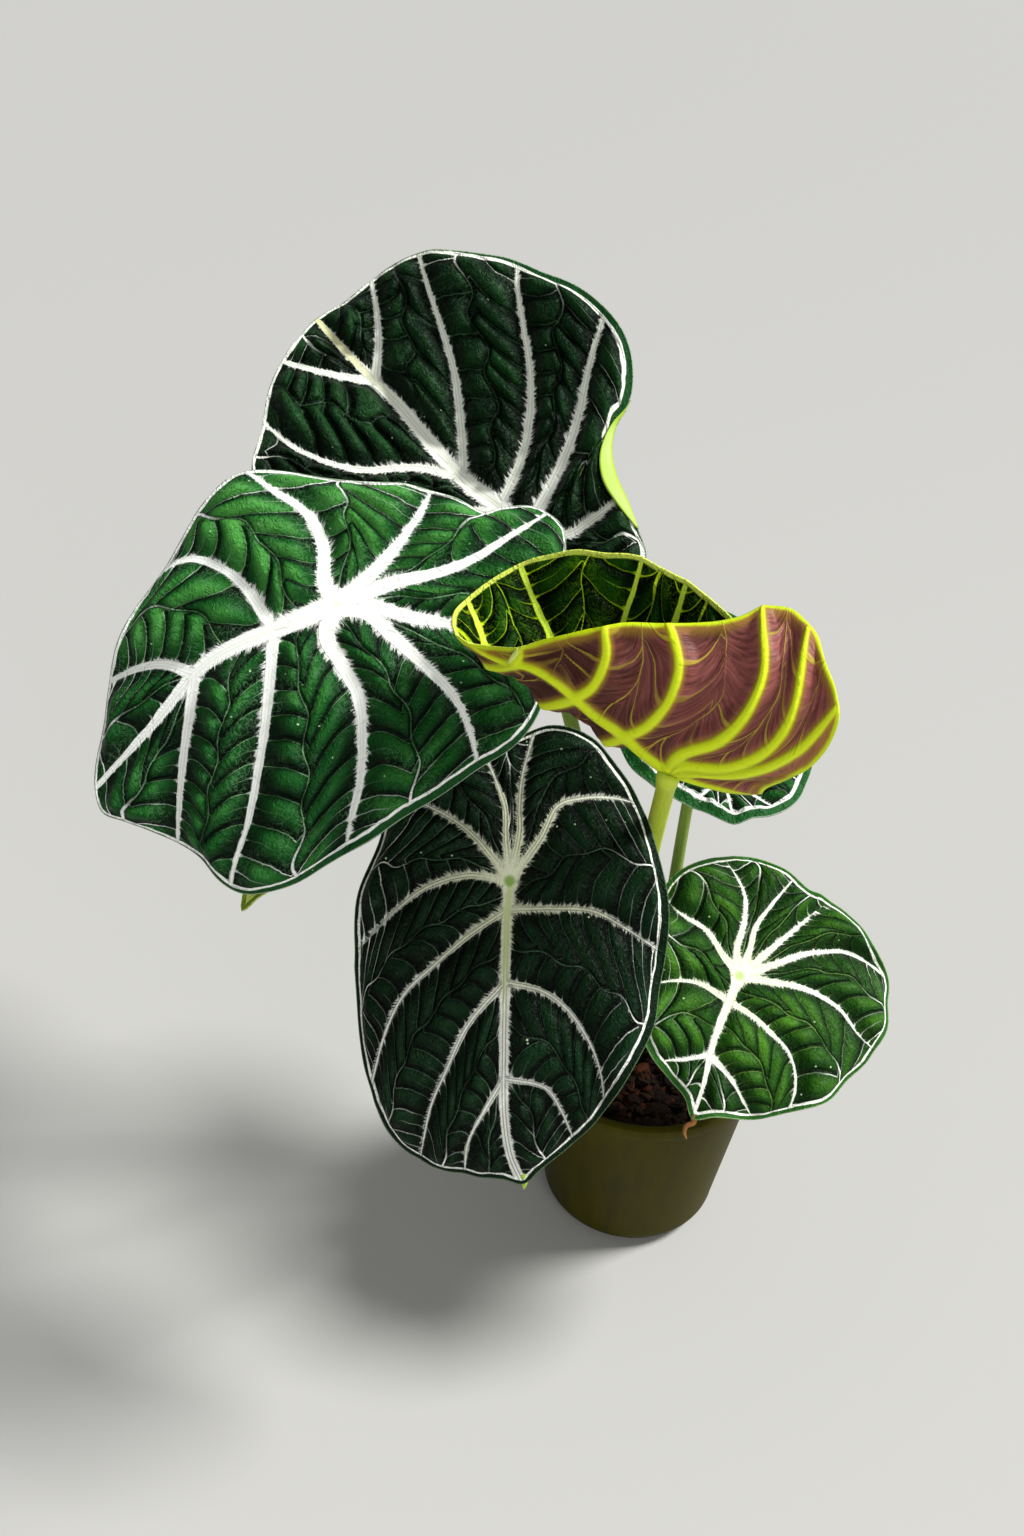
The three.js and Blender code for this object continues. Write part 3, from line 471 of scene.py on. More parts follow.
# Blade: a grid whose columns fan out with the veins, raised into ribs and cushions, then curled.
# Sizes are in millimetres, shares run from the midrib to the margin.
bladeShape = {
    "slot": "blade", "columns": 22, "rows": 96, "thickness": 0.8, "rimThinner": 0.35, "rimThinFrom": 2.5,
    "missFade": 2, "rimFade": 1.5, "waveFade": 3, "rimCalmFrom": 0.6, "rimCalmTo": 5.0, "veinScale": 1.0,
    "ribStart": 1.2, "ribEnd": 0.25, "hubVeinStart": 0.95, "sideVeinStart": 0.72, "veinEnd": 0.16,
    "webbing": 0.3, "hubWebbing": 0.6, "hubSpread": 10.0, "veinStep": 37.0, "ribFrom": -0.6, "ribTo": 1.0,
    "ribLess": 0.6, "fieldLift": 0.6, "fewestSeams": 3.0, "seamSpacing": 7.0, "seamGather": 0.95,
    "seamLag": 1.0, "lagUneven": 0.3, "seamBend": 2.2, "drift": 0.3, "sway": 0.05, "zig": 0.03, "puff": 1.2,
    "puffShape": 2.2, "middleCrease": 1.1, "middleDepth": 0.75, "fine": 0.12, "ribbing": 3, "dome": 0.07,
    "domeWidest": 26, "band": 1.3, "bandMore": 1.6, "bandPeak": 0.85, "collectiveDip": 0.25,
    "dipWidth": 0.9,
}


def leafGrid(leaf, look):
    # columns fan out with the veins, rows run from the midrib to the margin
    veins, margin, midrib = veinsOf(leaf)
    fields, per, rows = len(veins), look["columns"], look["rows"]
    share = np.arange(rows + 1) / rows
    between = np.arange(per + 1) / per
    columns = fields * per
    flat = np.zeros((rows + 1, columns + 1, 2))
    width, length = np.zeros((2, rows + 1, columns + 1))
    rimShare = np.zeros(columns + 1)

    def veinPoints(vein):
        end = readCurve(margin, vein["at"])
        miss = end - vein["curve"]["chain"][-1]
        return readCurve(vein["curve"], share) + miss * (share ** look["missFade"])[:, None], end

    for field in range(fields):
        start, stop = veins[field], veins[(field + 1) % fields]
        stopAt = stop["at"] + (1 if stop["at"] <= start["at"] else 0)
        onStart, startEnd = veinPoints(start)
        onStop, stopEnd = veinPoints(stop)
        at = start["at"] + (stopAt - start["at"]) * between
        rim = readCurve(margin, at % 1) - startEnd * (1 - between)[:, None] - stopEnd * between[:, None]
        rim[[0, -1]] = 0
        mixed = onStart[:, None] * (1 - between)[None, :, None] + onStop[:, None] * between[None, :, None]
        place = slice(field * per, field * per + per + 1)
        flat[:, place] = mixed + rim[None] * (share ** look["rimFade"])[:, None, None]
        width[:, place] = np.linalg.norm(onStop - onStart, axis=1)[:, None]
        length[:, place] = start["curve"]["run"][-1] * (1 - between) + stop["curve"]["run"][-1] * between
        rimShare[place] = at
    lengths = [length[0, f * per:(f + 1) * per].mean() for f in range(fields)]
    seams = np.maximum(look["fewestSeams"], np.array(lengths) / look["seamSpacing"])
    return {"seams": seams, "veins": veins, "margin": margin, "midrib": midrib, "fields": fields,
            "flat": flat, "width": width, "length": length, "share": share, "rimShare": rimShare}


def veinField(leaf, look, grid):
    # how deep each point lies inside the nearest main vein, and where along it
    points = grid["flat"].reshape(-1, 2)
    hub = np.array(leaf["midrib"][0])
    widest = look["veinScale"] * leaf["veinWidth"] / 2
    hubAway = np.linalg.norm(points - hub, axis=1)
    webbing = look["webbing"] + look["hubWebbing"] * np.exp(-hubAway / look["hubSpread"])
    chains = [(grid["midrib"], look["ribStart"], look["ribEnd"])]
    for vein in grid["veins"][1:]:
        fromHub = np.linalg.norm(vein["foot"] - hub) < tiny
        chains.append((vein["curve"], look["hubVeinStart" if fromHub else "sideVeinStart"], look["veinEnd"]))
    total = 0
    deepest = np.full(len(points), -far)
    away, alongBest = np.zeros((2, len(points)))
    for number, (curve, startHalf, endHalf) in enumerate(chains):
        gap, along = nearestOn(curve, points)
        depth = widest * (endHalf + (startHalf - endHalf) * (1 - along / curve["run"][-1])) - gap
        total = total + np.exp(np.clip(depth / webbing, *depthRange))
        closer = depth > deepest
        deepest[closer] = depth[closer]
        away[closer] = gap[closer]
        alongBest[closer] = (along + look["veinStep"] * number)[closer]
    edge = webbing * np.log(total)
    return [values.reshape(grid["flat"].shape[:2]) for values in (edge, away, alongBest)]


# the odd factors in the next two keep any two fields of a leaf from looking alike
def seamsOn(look, grid, field, between, share, side):
    # the running number of the cross seams; whole numbers lie in the creases
    middle = 1 - np.abs(2 * between - 1)
    drift = look["drift"] * np.sin(5.1 * share + 2.3 * field + 1.7 * side) + 0.37 * field
    lag = look["seamLag"] * (1 + look["lagUneven"] * np.cos(math.pi * side + 1.9 * field))
    count = grid["seams"][field]
    return count * share ** look["seamGather"] - lag * middle ** look["seamBend"] + 0.5 * side + drift


def middleOf(look, grid, field, share):
    # where the crease down the middle of a field runs, as a share across it
    count = grid["seams"][field]
    slow = look["sway"] * np.sin(4.2 * share + 1.7 * field)
    return 0.5 + slow + look["zig"] * np.sin(math.pi * count * share ** look["seamGather"] + 1.3 * field)


def makeBlade(name, leaf, look, materials):
    grid = leafGrid(leaf, look)
    rows, per = look["rows"], look["columns"]
    columns = grid["fields"] * per
    edge, away, along = veinField(leaf, look, grid)
    shape = edge.shape
    points = grid["flat"].reshape(-1, 2)
    rimGap, midribGap = [nearestOn(grid[key], points)[0].reshape(shape) for key in ("margin", "midrib")]
    share = np.broadcast_to(grid["share"][:, None], shape)
    column = np.broadcast_to(np.arange(columns + 1), shape)
    field = np.minimum(column // per, grid["fields"] - 1)
    between = column / per - field
    middleGap = between - middleOf(look, grid, field, share)
    side = (middleGap > 0).astype(float)
    phase = seamsOn(look, grid, field, between, share, side)

    # relief: sunken veins, cushions between the seams, a doming field and a waved margin
    clear = smoothStep(0, 1, np.minimum(1, np.maximum(0, -edge) / leaf["veinWidth"]))
    fromCrease = np.abs(2 * (phase - np.floor(phase)) - 1)
    puff = 1 - fromCrease ** look["puffShape"]
    middleGap = middleGap * grid["width"]
    puff = puff * (1 - look["middleDepth"] * np.exp(-(middleGap / look["middleCrease"]) ** 2))
    fine = 0.5 - 0.5 * np.cos(2 * math.pi * (look["ribbing"] * phase + 0.4 * np.sin(3.0 * share + field)))
    dome = np.sin(math.pi * between) * np.minimum(grid["width"], look["domeWidest"]) * look["dome"]
    towardsPeak = np.cos(2 * math.pi * (grid["rimShare"] - look["bandPeak"]))
    collective = rimGap - look["band"] - look["bandMore"] * np.maximum(0, towardsPeak) ** 2
    dip = np.exp(-(collective / look["dipWidth"]) ** 2) * look["collectiveDip"]
    wave = np.sin(2 * math.pi * leaf["wave"]["count"] * grid["rimShare"] + leaf["wave"]["start"])
    calm = smoothStep(look["rimCalmFrom"], look["rimCalmTo"], rimGap)
    height = clear * (leaf["veinDepth"] * look["fieldLift"] - dip)
    height = height + clear * calm * (puff * look["puff"] + fine * look["fine"] + dome)
    height = height + leaf["wave"]["depth"] * wave * share ** look["waveFade"]
    blade = added(bpy.ops.mesh.primitive_grid_add, x_subdivisions=columns, y_subdivisions=rows, size=1)
    placePoints(blade, onLeaf(leaf, points[:, 0], points[:, 1], height.ravel())[0])
    thickness = look["thickness"] * (1 - look["rimThinner"] * smoothStep(look["rimThinFrom"], 0, rimGap))
    thickness = thickness + smoothStep(look["ribFrom"], look["ribTo"], edge) * leaf["veinDepth"] * (
        1 - look["ribLess"] * share)
    thickest = thickness.max()
    group = blade.vertex_groups.new(name="thickness")
    for index, weight in enumerate((thickness / thickest).ravel()):
        group.add([index], float(weight), "REPLACE")

    # what the leaf's finish reads: each face knows its own field, so no seam smears over a vein
    faceRow, faceColumn = np.divmod(np.arange(rows * columns), columns)
    faceField = faceColumn // per
    faceMiddle = middleOf(look, grid, faceField, (faceRow + 0.5) / rows)
    faceSide = ((faceColumn + 0.5) / per - faceField > faceMiddle).astype(float)[:, None]
    cornerRow = faceRow[:, None] + np.array([0, 0, 1, 1])
    cornerColumn = faceColumn[:, None] + np.array([0, 1, 1, 0])
    faceField = faceField[:, None] + np.zeros(cornerRow.shape, int)
    between = cornerColumn / per - faceField
    share = cornerRow / rows
    atCorners = {
        "veinEdge": edge, "veinAway": away, "veinAlong": along, "midribGap": midribGap, "rimGap": rimGap,
        "hubAway": np.linalg.norm(grid["flat"] - np.array(leaf["midrib"][0]), axis=-1),
        "collective": collective, "cushion": puff * clear}
    values = {key: value[cornerRow, cornerColumn] for key, value in atCorners.items()} | {
        "seamNumber": seamsOn(look, grid, faceField, between, share, faceSide),
        "seamSpacing": grid["length"][0, cornerColumn] / grid["seams"][faceField],
        "middleGap": (between - middleOf(look, grid, faceField, share)) * grid["width"][
            cornerRow, cornerColumn],
        "inField": 1 - np.abs(2 * between - 1), "fieldNumber": faceField,
        "halfNumber": 2 * faceField + faceSide}
    for key, value in values.items():
        setAttribute(blade, key, value, domain="CORNER")

    inEditMode(blade, joinDoubles, bpy.ops.mesh.flip_normals)
    shell = blade.modifiers.new("shell", "SOLIDIFY")
    shell.thickness = thickest * mm
    shell.offset = -1
    shell.vertex_group = group.name
    shell.material_offset = 1
    shell.material_offset_rim = 0
    smoothed(blade, materials)
    applyAll(blade)
    finishPiece(blade, name + "Blade", look["slot"], name + "_blade")
    print("blade", name, len(blade.data.polygons))


# Leaf blade: living leaf skin, quilted and slightly velvety. The cushions read as soft satin green,
# the main veins as matt white felt with fine hairs along their edges, the cross seams as thin pale lines.
# crease is the colour of painted shade in the creases and light that of the painted highlight
# the cushion gradient and the height gradient of the skin are painted light
greenSkin = {
    "deep": "021706", "top": "12501a", "light": "509c42", "crease": "010a03", "seam": "7cae78",
    "band": "17481f", "vein": "fafbf6", "hub": "fafbf2", "groove": "b4bfa4", "rim": "b9ccae",
    "felt": "eef0e4", "cord": "eceedd", "dimple": "e4ecc0", "speck": "b9cfa6", "seamHalf": 0.16,
    "seamWide": 0.55, "seamShow": 0.7, "seamLeast": 0.25, "seamFlare": 1.8, "thornLeast": 0.15,
    "middleHalf": 0.18, "middleWide": 0.5, "creaseShadeShow": 0.7, "creaseDeep": 0.5, "creaseWide": 1.2,
    "paintedSlopeLight": 0.55, "highlightShow": 0.9, "paintedLightFrom": 0.2, "paintedLightTo": 0.3, "paintedLightShift": 0.0, "netCell": 3.4,
    "netShow": 0.2, "bulge": 0.3, "hairGap": 0.65, "hairLean": 0.6, "hairFade": 60.0, "hairNearHub": 2.4,
    "hairFar": 0.6, "hairThin": 0.05, "hairThick": 0.9, "bareSide": 0.35, "fringe": 0.15, "veinUneven": 1.1,
    "feltShow": 0.3, "roundHalf": 0.36, "roundShow": 1.0, "rimLine": 0.3, "rimShow": 0.55, "bandShow": 0.9,
    "hubReach": 30.0, "grooveShow": 0.3, "twinGap": 0.42, "dimpleShow": 0.5, "dimpleSize": 2.2,
    "specks": 0.8, "cordHalf": 1.0, "cordShow": 0.3, "cordFrom": 30.0, "cordTo": 60.0, "cordTip": 0.0,
    "roughness": 0.46, "veinRoughness": 0.8, "shine": 0.12,
}
# scale, detail and roughness of each noise
skinNoises = {"wander": (190, 2, 0.5), "patchy": (75, 2, 0.5), "ring": (60, 2, 0.5), "broad": (26, 3, 0.6),
              "grain": (1000, 3, 0.7), "stipple": (1500, 2, 0.5)}
skinReads = ("veinEdge", "veinAway", "veinAlong", "rimGap", "collective", "hubAway", "seamNumber",
             "seamSpacing", "fieldNumber", "halfNumber", "inField", "middleGap", "midribGap", "cushion")
speckScale = 210
leafIor = 1.42


def leafSkin(name, tone):
    material, add = newMaterial(name)
    place = add("TexCoord", out=3)
    read = {key: add("Attribute", attribute_name=key, out=2) for key in skinReads}
    noise = {key: add("TexNoise", {"Vector": place, "Scale": scale, "Detail": detail, "Roughness": rough})
             for key, (scale, detail, rough) in skinNoises.items()}
    edge, away, hubAway, collective = [read[key] for key in ("veinEdge", "veinAway", "hubAway", "collective")]
    spacing, patchy = read["seamSpacing"], noise["patchy"]
    wander = add("SUBTRACT", [noise["wander"], 0.5])
    fieldChance = add("TexWhiteNoise", {"W": read["fieldNumber"]}, noise_dimensions="1D")
    halfChance = add("TexWhiteNoise", {"W": read["halfNumber"]}, noise_dimensions="1D")

    # hairs lean outwards and forwards from the vein: long across it, close together along it. They are
    # drawn coarser than real ones, which would be too fine to show.
    lean = add("MULTIPLY_ADD", [away, -tone["hairLean"], read["veinAlong"]])
    hairSide = add("MULTIPLY", [halfChance, 60.0])
    hair = add("CombineXYZ", [
        add("MULTIPLY", [lean, 1 / tone["hairGap"]]), add("MULTIPLY", [away, 0.3]), hairSide])
    hair = add("TexNoise", {"Vector": hair, "Scale": 1.0, "Detail": 2.0, "Roughness": 0.6})
    hair = add("SMOOTHSTEP", [hair, 0.36, 0.66])
    tuft = add("CombineXYZ", [add("MULTIPLY", [lean, 0.35]), 0.0, hairSide])
    tuft = add("TexNoise", {"Vector": tuft, "Scale": 1.0, "Detail": 2.0})
    tuft = add("SMOOTHSTEP", [tuft, 0.35, 0.68, 0.35, 1.0])
    hairLength = add("MULTIPLY", [tuft, add("SMOOTHSTEP", [halfChance, 0.3, 0.6, tone["bareSide"], 1.0])])
    byHub = add("SMOOTHSTEP", [hubAway, 0.0, tone["hairFade"], tone["hairNearHub"], tone["hairFar"]])
    hairLength = add("MULTIPLY", [hairLength, byHub])
    hairTip = add("SMOOTHSTEP", [add("MULTIPLY_ADD", [hair, hairLength, edge]), 0.0, 0.3])
    hairRoot = add("MULTIPLY", [hairLength, -1.0])
    hairBody = add("SMOOTHSTEP", [edge, hairRoot, 0.2, tone["hairThin"], tone["hairThick"]])
    core = add("SMOOTHSTEP", [add("MULTIPLY_ADD", [wander, tone["veinUneven"], edge]), -0.14, 0.14])
    inside = add("SMOOTHSTEP", [collective, -0.25, 0.05])
    white = add("MULTIPLY", [add("MAXIMUM", [core, add("MULTIPLY", [hairTip, hairBody])]), inside])

    # cross seams: thin lines beside a crease, some of them flaring where they leave a vein; the crease's dark
    # is painted shade
    number = add("MULTIPLY_ADD", [wander, 0.16, read["seamNumber"]])
    nextNumber = add("ADD", [number, 0.5])
    seamChance = add("ADD", [add("FLOOR", [nextNumber]), hairSide])
    seamChance = add("TexWhiteNoise", {"W": seamChance}, noise_dimensions="1D")
    nearVein = add("SMOOTHSTEP", [edge, -tone["seamFlare"], 0.1])
    nearRound = add("SMOOTHSTEP", [collective, 1.8, 0.0, 0.0, 0.7])
    flare = add("MAXIMUM", [nearVein, add("MULTIPLY", [nearRound, nearRound])])
    flare = add("MULTIPLY", [flare, add("SMOOTHSTEP", [seamChance, 0.1, 0.9, tone["thornLeast"], 1.0])])
    seamHalf = add("SMOOTHSTEP", [flare, 0.0, 1.0, tone["seamHalf"], tone["seamWide"]])
    ahead = add("MULTIPLY", [add("SUBTRACT", [add("FRACT", [nextNumber]), 0.5]), spacing])
    seamGap = add("ABSOLUTE", [add("SUBTRACT", [ahead, 0.08])])
    seam = add("SMOOTHSTEP", [add("DIVIDE", [seamGap, seamHalf]), 1.25, 0.45])

    # a shorter seam between two whole ones, and the crease down the middle of the field
    inPhase = add("FRACT", [number])
    halfGap = add("ABSOLUTE", [add("MULTIPLY", [add("SUBTRACT", [inPhase, 0.5]), spacing])])
    halfSeam = add("SMOOTHSTEP", [add("DIVIDE", [halfGap, seamHalf]), 1.1, 0.35])
    pillow = add("ADD", [add("FLOOR", [number]), hairSide])
    pillow = add("TexWhiteNoise", {"W": pillow}, noise_dimensions="1D")
    halfSeen = add("MULTIPLY", [
        add("SMOOTHSTEP", [read["inField"], 0.75, 0.25]), add("SMOOTHSTEP", [pillow, 0.3, 0.5])])
    halfSeam = add("MULTIPLY", [halfSeam, halfSeen])
    middleGap = add("ABSOLUTE", [add("MULTIPLY_ADD", [wander, 0.7, read["middleGap"]])])
    nearMargin = add("MULTIPLY", [
        add("SMOOTHSTEP", [collective, 14.0, 1.0]), add("SMOOTHSTEP", [fieldChance, 0.35, 0.6])])
    middleHalf = add("SMOOTHSTEP", [nearMargin, 0.0, 1.0, tone["middleHalf"], tone["middleWide"]])
    middle = add("SMOOTHSTEP", [add("DIVIDE", [middleGap, middleHalf]), 1.25, 0.45])
    seen = add("MAXIMUM", [flare, add("SMOOTHSTEP", [patchy, 0.36, 0.62, tone["seamLeast"], 1.0])])
    seams = add("MULTIPLY", [seam, seen])
    seams = add("MAXIMUM", [seams, add("MULTIPLY", [halfSeam, add("MULTIPLY", [seen, 0.7])])])
    seams = add("MAXIMUM", [seams, add("MULTIPLY", [middle, add("MAXIMUM", [seen, nearMargin])])])
    seams = add("MULTIPLY", [seams, inside])
    # the crease: painted shade in the colour, and a dip in the relief
    crease = add("SMOOTHSTEP", [add("ABSOLUTE", [add("ADD", [ahead, 0.5])]), tone["creaseWide"], 0.1])
    crease = add("MAXIMUM", [crease, add("SMOOTHSTEP", [middleGap, tone["creaseWide"], 0.2])])
    crease = add("MULTIPLY", [crease, add("MULTIPLY", [inside, add("SMOOTHSTEP", [edge, 0.2, -1.2])])])

    # a faint net of the smallest veins, coarser than the real one, each mesh a low bulge
    netPlace = add("TexNoise", {"Vector": place, "Scale": 300.0, "Detail": 2.0}, out=1)
    netPlace = add("Mix", {0: 0.012, 4: place, 5: netPlace}, out=1, data_type="VECTOR")
    net = add("TexVoronoi", {"Vector": netPlace, "Scale": 1000 / tone["netCell"]}, feature="DISTANCE_TO_EDGE")
    netLine = add("MULTIPLY", [add("SMOOTHSTEP", [net, 0.07, 0.0]), add("SMOOTHSTEP", [patchy, 0.4, 0.62])])
    bulge = add("SMOOTHSTEP", [net, 0.0, 0.4])

    # the vein that runs round inside the margin, and the thin pale edge
    roundGap = add("ABSOLUTE", [add("MULTIPLY_ADD", [wander, 0.9, collective])])
    roundHalf = add("SMOOTHSTEP", [
        noise["ring"], 0.35, 0.65, tone["roundHalf"] * 0.7, tone["roundHalf"] * 1.3])
    roundVein = add("SMOOTHSTEP", [add("DIVIDE", [roundGap, roundHalf]), 1.2, 0.6])
    outer = add("SMOOTHSTEP", [read["rimGap"], tone["rimLine"], tone["rimLine"] * 0.5])
    band = add("SMOOTHSTEP", [collective, 0.1, -0.4])

    # green of the cushions, with painted light over a random tone: lighter on the cushion tops and just past
    # each seam, painted shade towards the next one, and on some leaves painted light that rises with height
    high = add("SeparateXYZ", [place], out=2)
    high = add("SMOOTHSTEP", [high, tone["paintedLightFrom"], tone["paintedLightTo"], -tone["paintedLightShift"], tone["paintedLightShift"]])
    level = summed(add, [
        (read["cushion"], 0.35), (noise["broad"], 0.75), (add("SUBTRACT", [0.6, inPhase]), tone["paintedSlopeLight"]),
        (add("SUBTRACT", [pillow, 0.5]), 0.15), (high, 1.0)])
    green = add("RGBA", [add("SMOOTHSTEP", [level, 0.2, 0.85]), tone["deep"], tone["top"]])
    # the light green goes on as a painted highlight where the level is high, broken up by the grain
    grainy = add("SMOOTHSTEP", [noise["grain"], 0.2, 0.7, 0.55, 1.0])
    paintedHighlight = add("SMOOTHSTEP", [level, 0.6, 1.15, 0.0, tone["highlightShow"]])
    wide = add("MAXIMUM", [flare, nearMargin])
    seamTint = add("RGBA", [wide, tone["seam"], tone["vein"]])
    # the crease colour goes on as painted shade
    green = layered(add, green, [
        (grainy, paintedHighlight, tone["light"]), (crease, tone["creaseShadeShow"], tone["crease"]),
        (netLine, tone["netShow"], tone["seam"]), (seams, add("MAXIMUM", [tone["seamShow"], wide]), seamTint),
        (band, tone["bandShow"], tone["band"])])

    # white of the veins, with a faint double line down the middle, the midrib's cord and the hub's own tint
    veinTint = add("SMOOTHSTEP", [hubAway, tone["hubReach"] * 0.2, tone["hubReach"]])
    veinTint = add("RGBA", [veinTint, tone["hub"], tone["vein"]])
    felt = add("MULTIPLY", [
        add("SMOOTHSTEP", [hubAway, tone["cordFrom"], tone["cordTo"], 1.0, 0.0]),
        add("SMOOTHSTEP", [noise["stipple"], 0.3, 0.7, 0.25, 1.0])])
    twin = add("ABSOLUTE", [add("SUBTRACT", [away, tone["twinGap"]])])
    twin = add("MULTIPLY", [add("SMOOTHSTEP", [twin, 0.26, 0.08]), add("SMOOTHSTEP", [hubAway, 4.0, 12.0])])
    shaggy = add("MULTIPLY", [add("SUBTRACT", [1.0, hair]), add("SMOOTHSTEP", [edge, 1.6, 0.0, 0.2, 1.0])])
    cord = add("ADD", [read["midribGap"], wander])
    cord = add("SMOOTHSTEP", [cord, tone["cordHalf"], tone["cordHalf"] * 0.6])
    cordShow = add("SMOOTHSTEP", [
        hubAway, tone["cordFrom"], tone["cordTo"], tone["cordShow"], tone["cordTip"]])
    dimple = add("SMOOTHSTEP", [add("ADD", [hubAway, wander]), tone["dimpleSize"], 1.0])
    veinTint = layered(add, veinTint, [
        (felt, tone["feltShow"], tone["felt"]), (twin, tone["grooveShow"], tone["groove"]),
        (shaggy, tone["fringe"], tone["groove"]), (cord, cordShow, tone["cord"]),
        (dimple, tone["dimpleShow"], tone["dimple"])])
    colour = add("MAXIMUM", [white, add("MULTIPLY", [roundVein, tone["roundShow"]])])
    colour = add("RGBA", [colour, green, veinTint])
    speckChance = add("SeparateColor", [add("TexVoronoi", {"Vector": place, "Scale": speckScale}, out=1)])
    speck = add("TexVoronoi", {"Vector": place, "Scale": speckScale})
    speck = add("MULTIPLY", [
        add("SMOOTHSTEP", [speck, 0.085, 0.045]), add("SMOOTHSTEP", [speckChance, 0.7, 0.75])])
    colour = layered(add, colour, [
        (outer, tone["rimShow"], tone["rim"]), (speck, tone["specks"], tone["speck"])])

    # relief in millimetres on top of the modelled one
    hairLift = add("MULTIPLY", [hair, add("SMOOTHSTEP", [edge, 1.2, 0.1, 0.0, 0.14])])
    offVein = add("SMOOTHSTEP", [white, 1.0, 0.0, 0.0, tone["bulge"]])
    lift = summed(add, [
        (white, hairLift), (core, 0.12), (noise["grain"], 0.09), (bulge, offVein),
        (crease, -tone["creaseDeep"]), (halfSeam, -0.16), (roundVein, 0.15)])
    rough = add("MULTIPLY_ADD", [noise["grain"], 0.6, white])
    rough = add("SMOOTHSTEP", [rough, 0.1, 1.5, tone["roughness"], tone["veinRoughness"]])
    finishMaterial(add, lift, 1.0, mm, {
        "Base Color": colour, "Roughness": rough, "IOR": leafIor, "Specular IOR Level": tone["shine"]})
    return material


# Leaf underside: the same skin without the velvet. Ribs stand out smooth and waxy, lime or pale green,
# and the fields between them are dull, with fine streaks that follow the cross seams.
# the underside field grows lighter towards plus x as painted light
paleUnder = {
    "deep": "4a6618", "light": "7a9430", "halo": "93a845", "seam": "b5c56a", "rib": "b0c24a",
    "ribTop": "c6d378", "seamHalf": 0.2, "middleHalf": 0.2, "seamShow": 0.5, "seamLeast": 0.3, "glow": 0.4,
    "haloReach": 3.2, "border": 1.2, "borderShow": 0.7, "borderGlow": 0.2, "streaks": 0.12, "paintedLightFromX": -0.05,
    "paintedLightToX": 0.05, "roughness": 0.45, "shine": 0.4, "sheen": 0.05,
}
underReads = ("veinEdge", "veinAway", "rimGap", "seamNumber", "seamSpacing", "halfNumber", "middleGap")
underNoises = {"waver": (160, 2, 0.5), "patchy": (60, 2, 0.5), "broad": (22, 3, 0.5), "grain": (1100, 3, 0.7)}


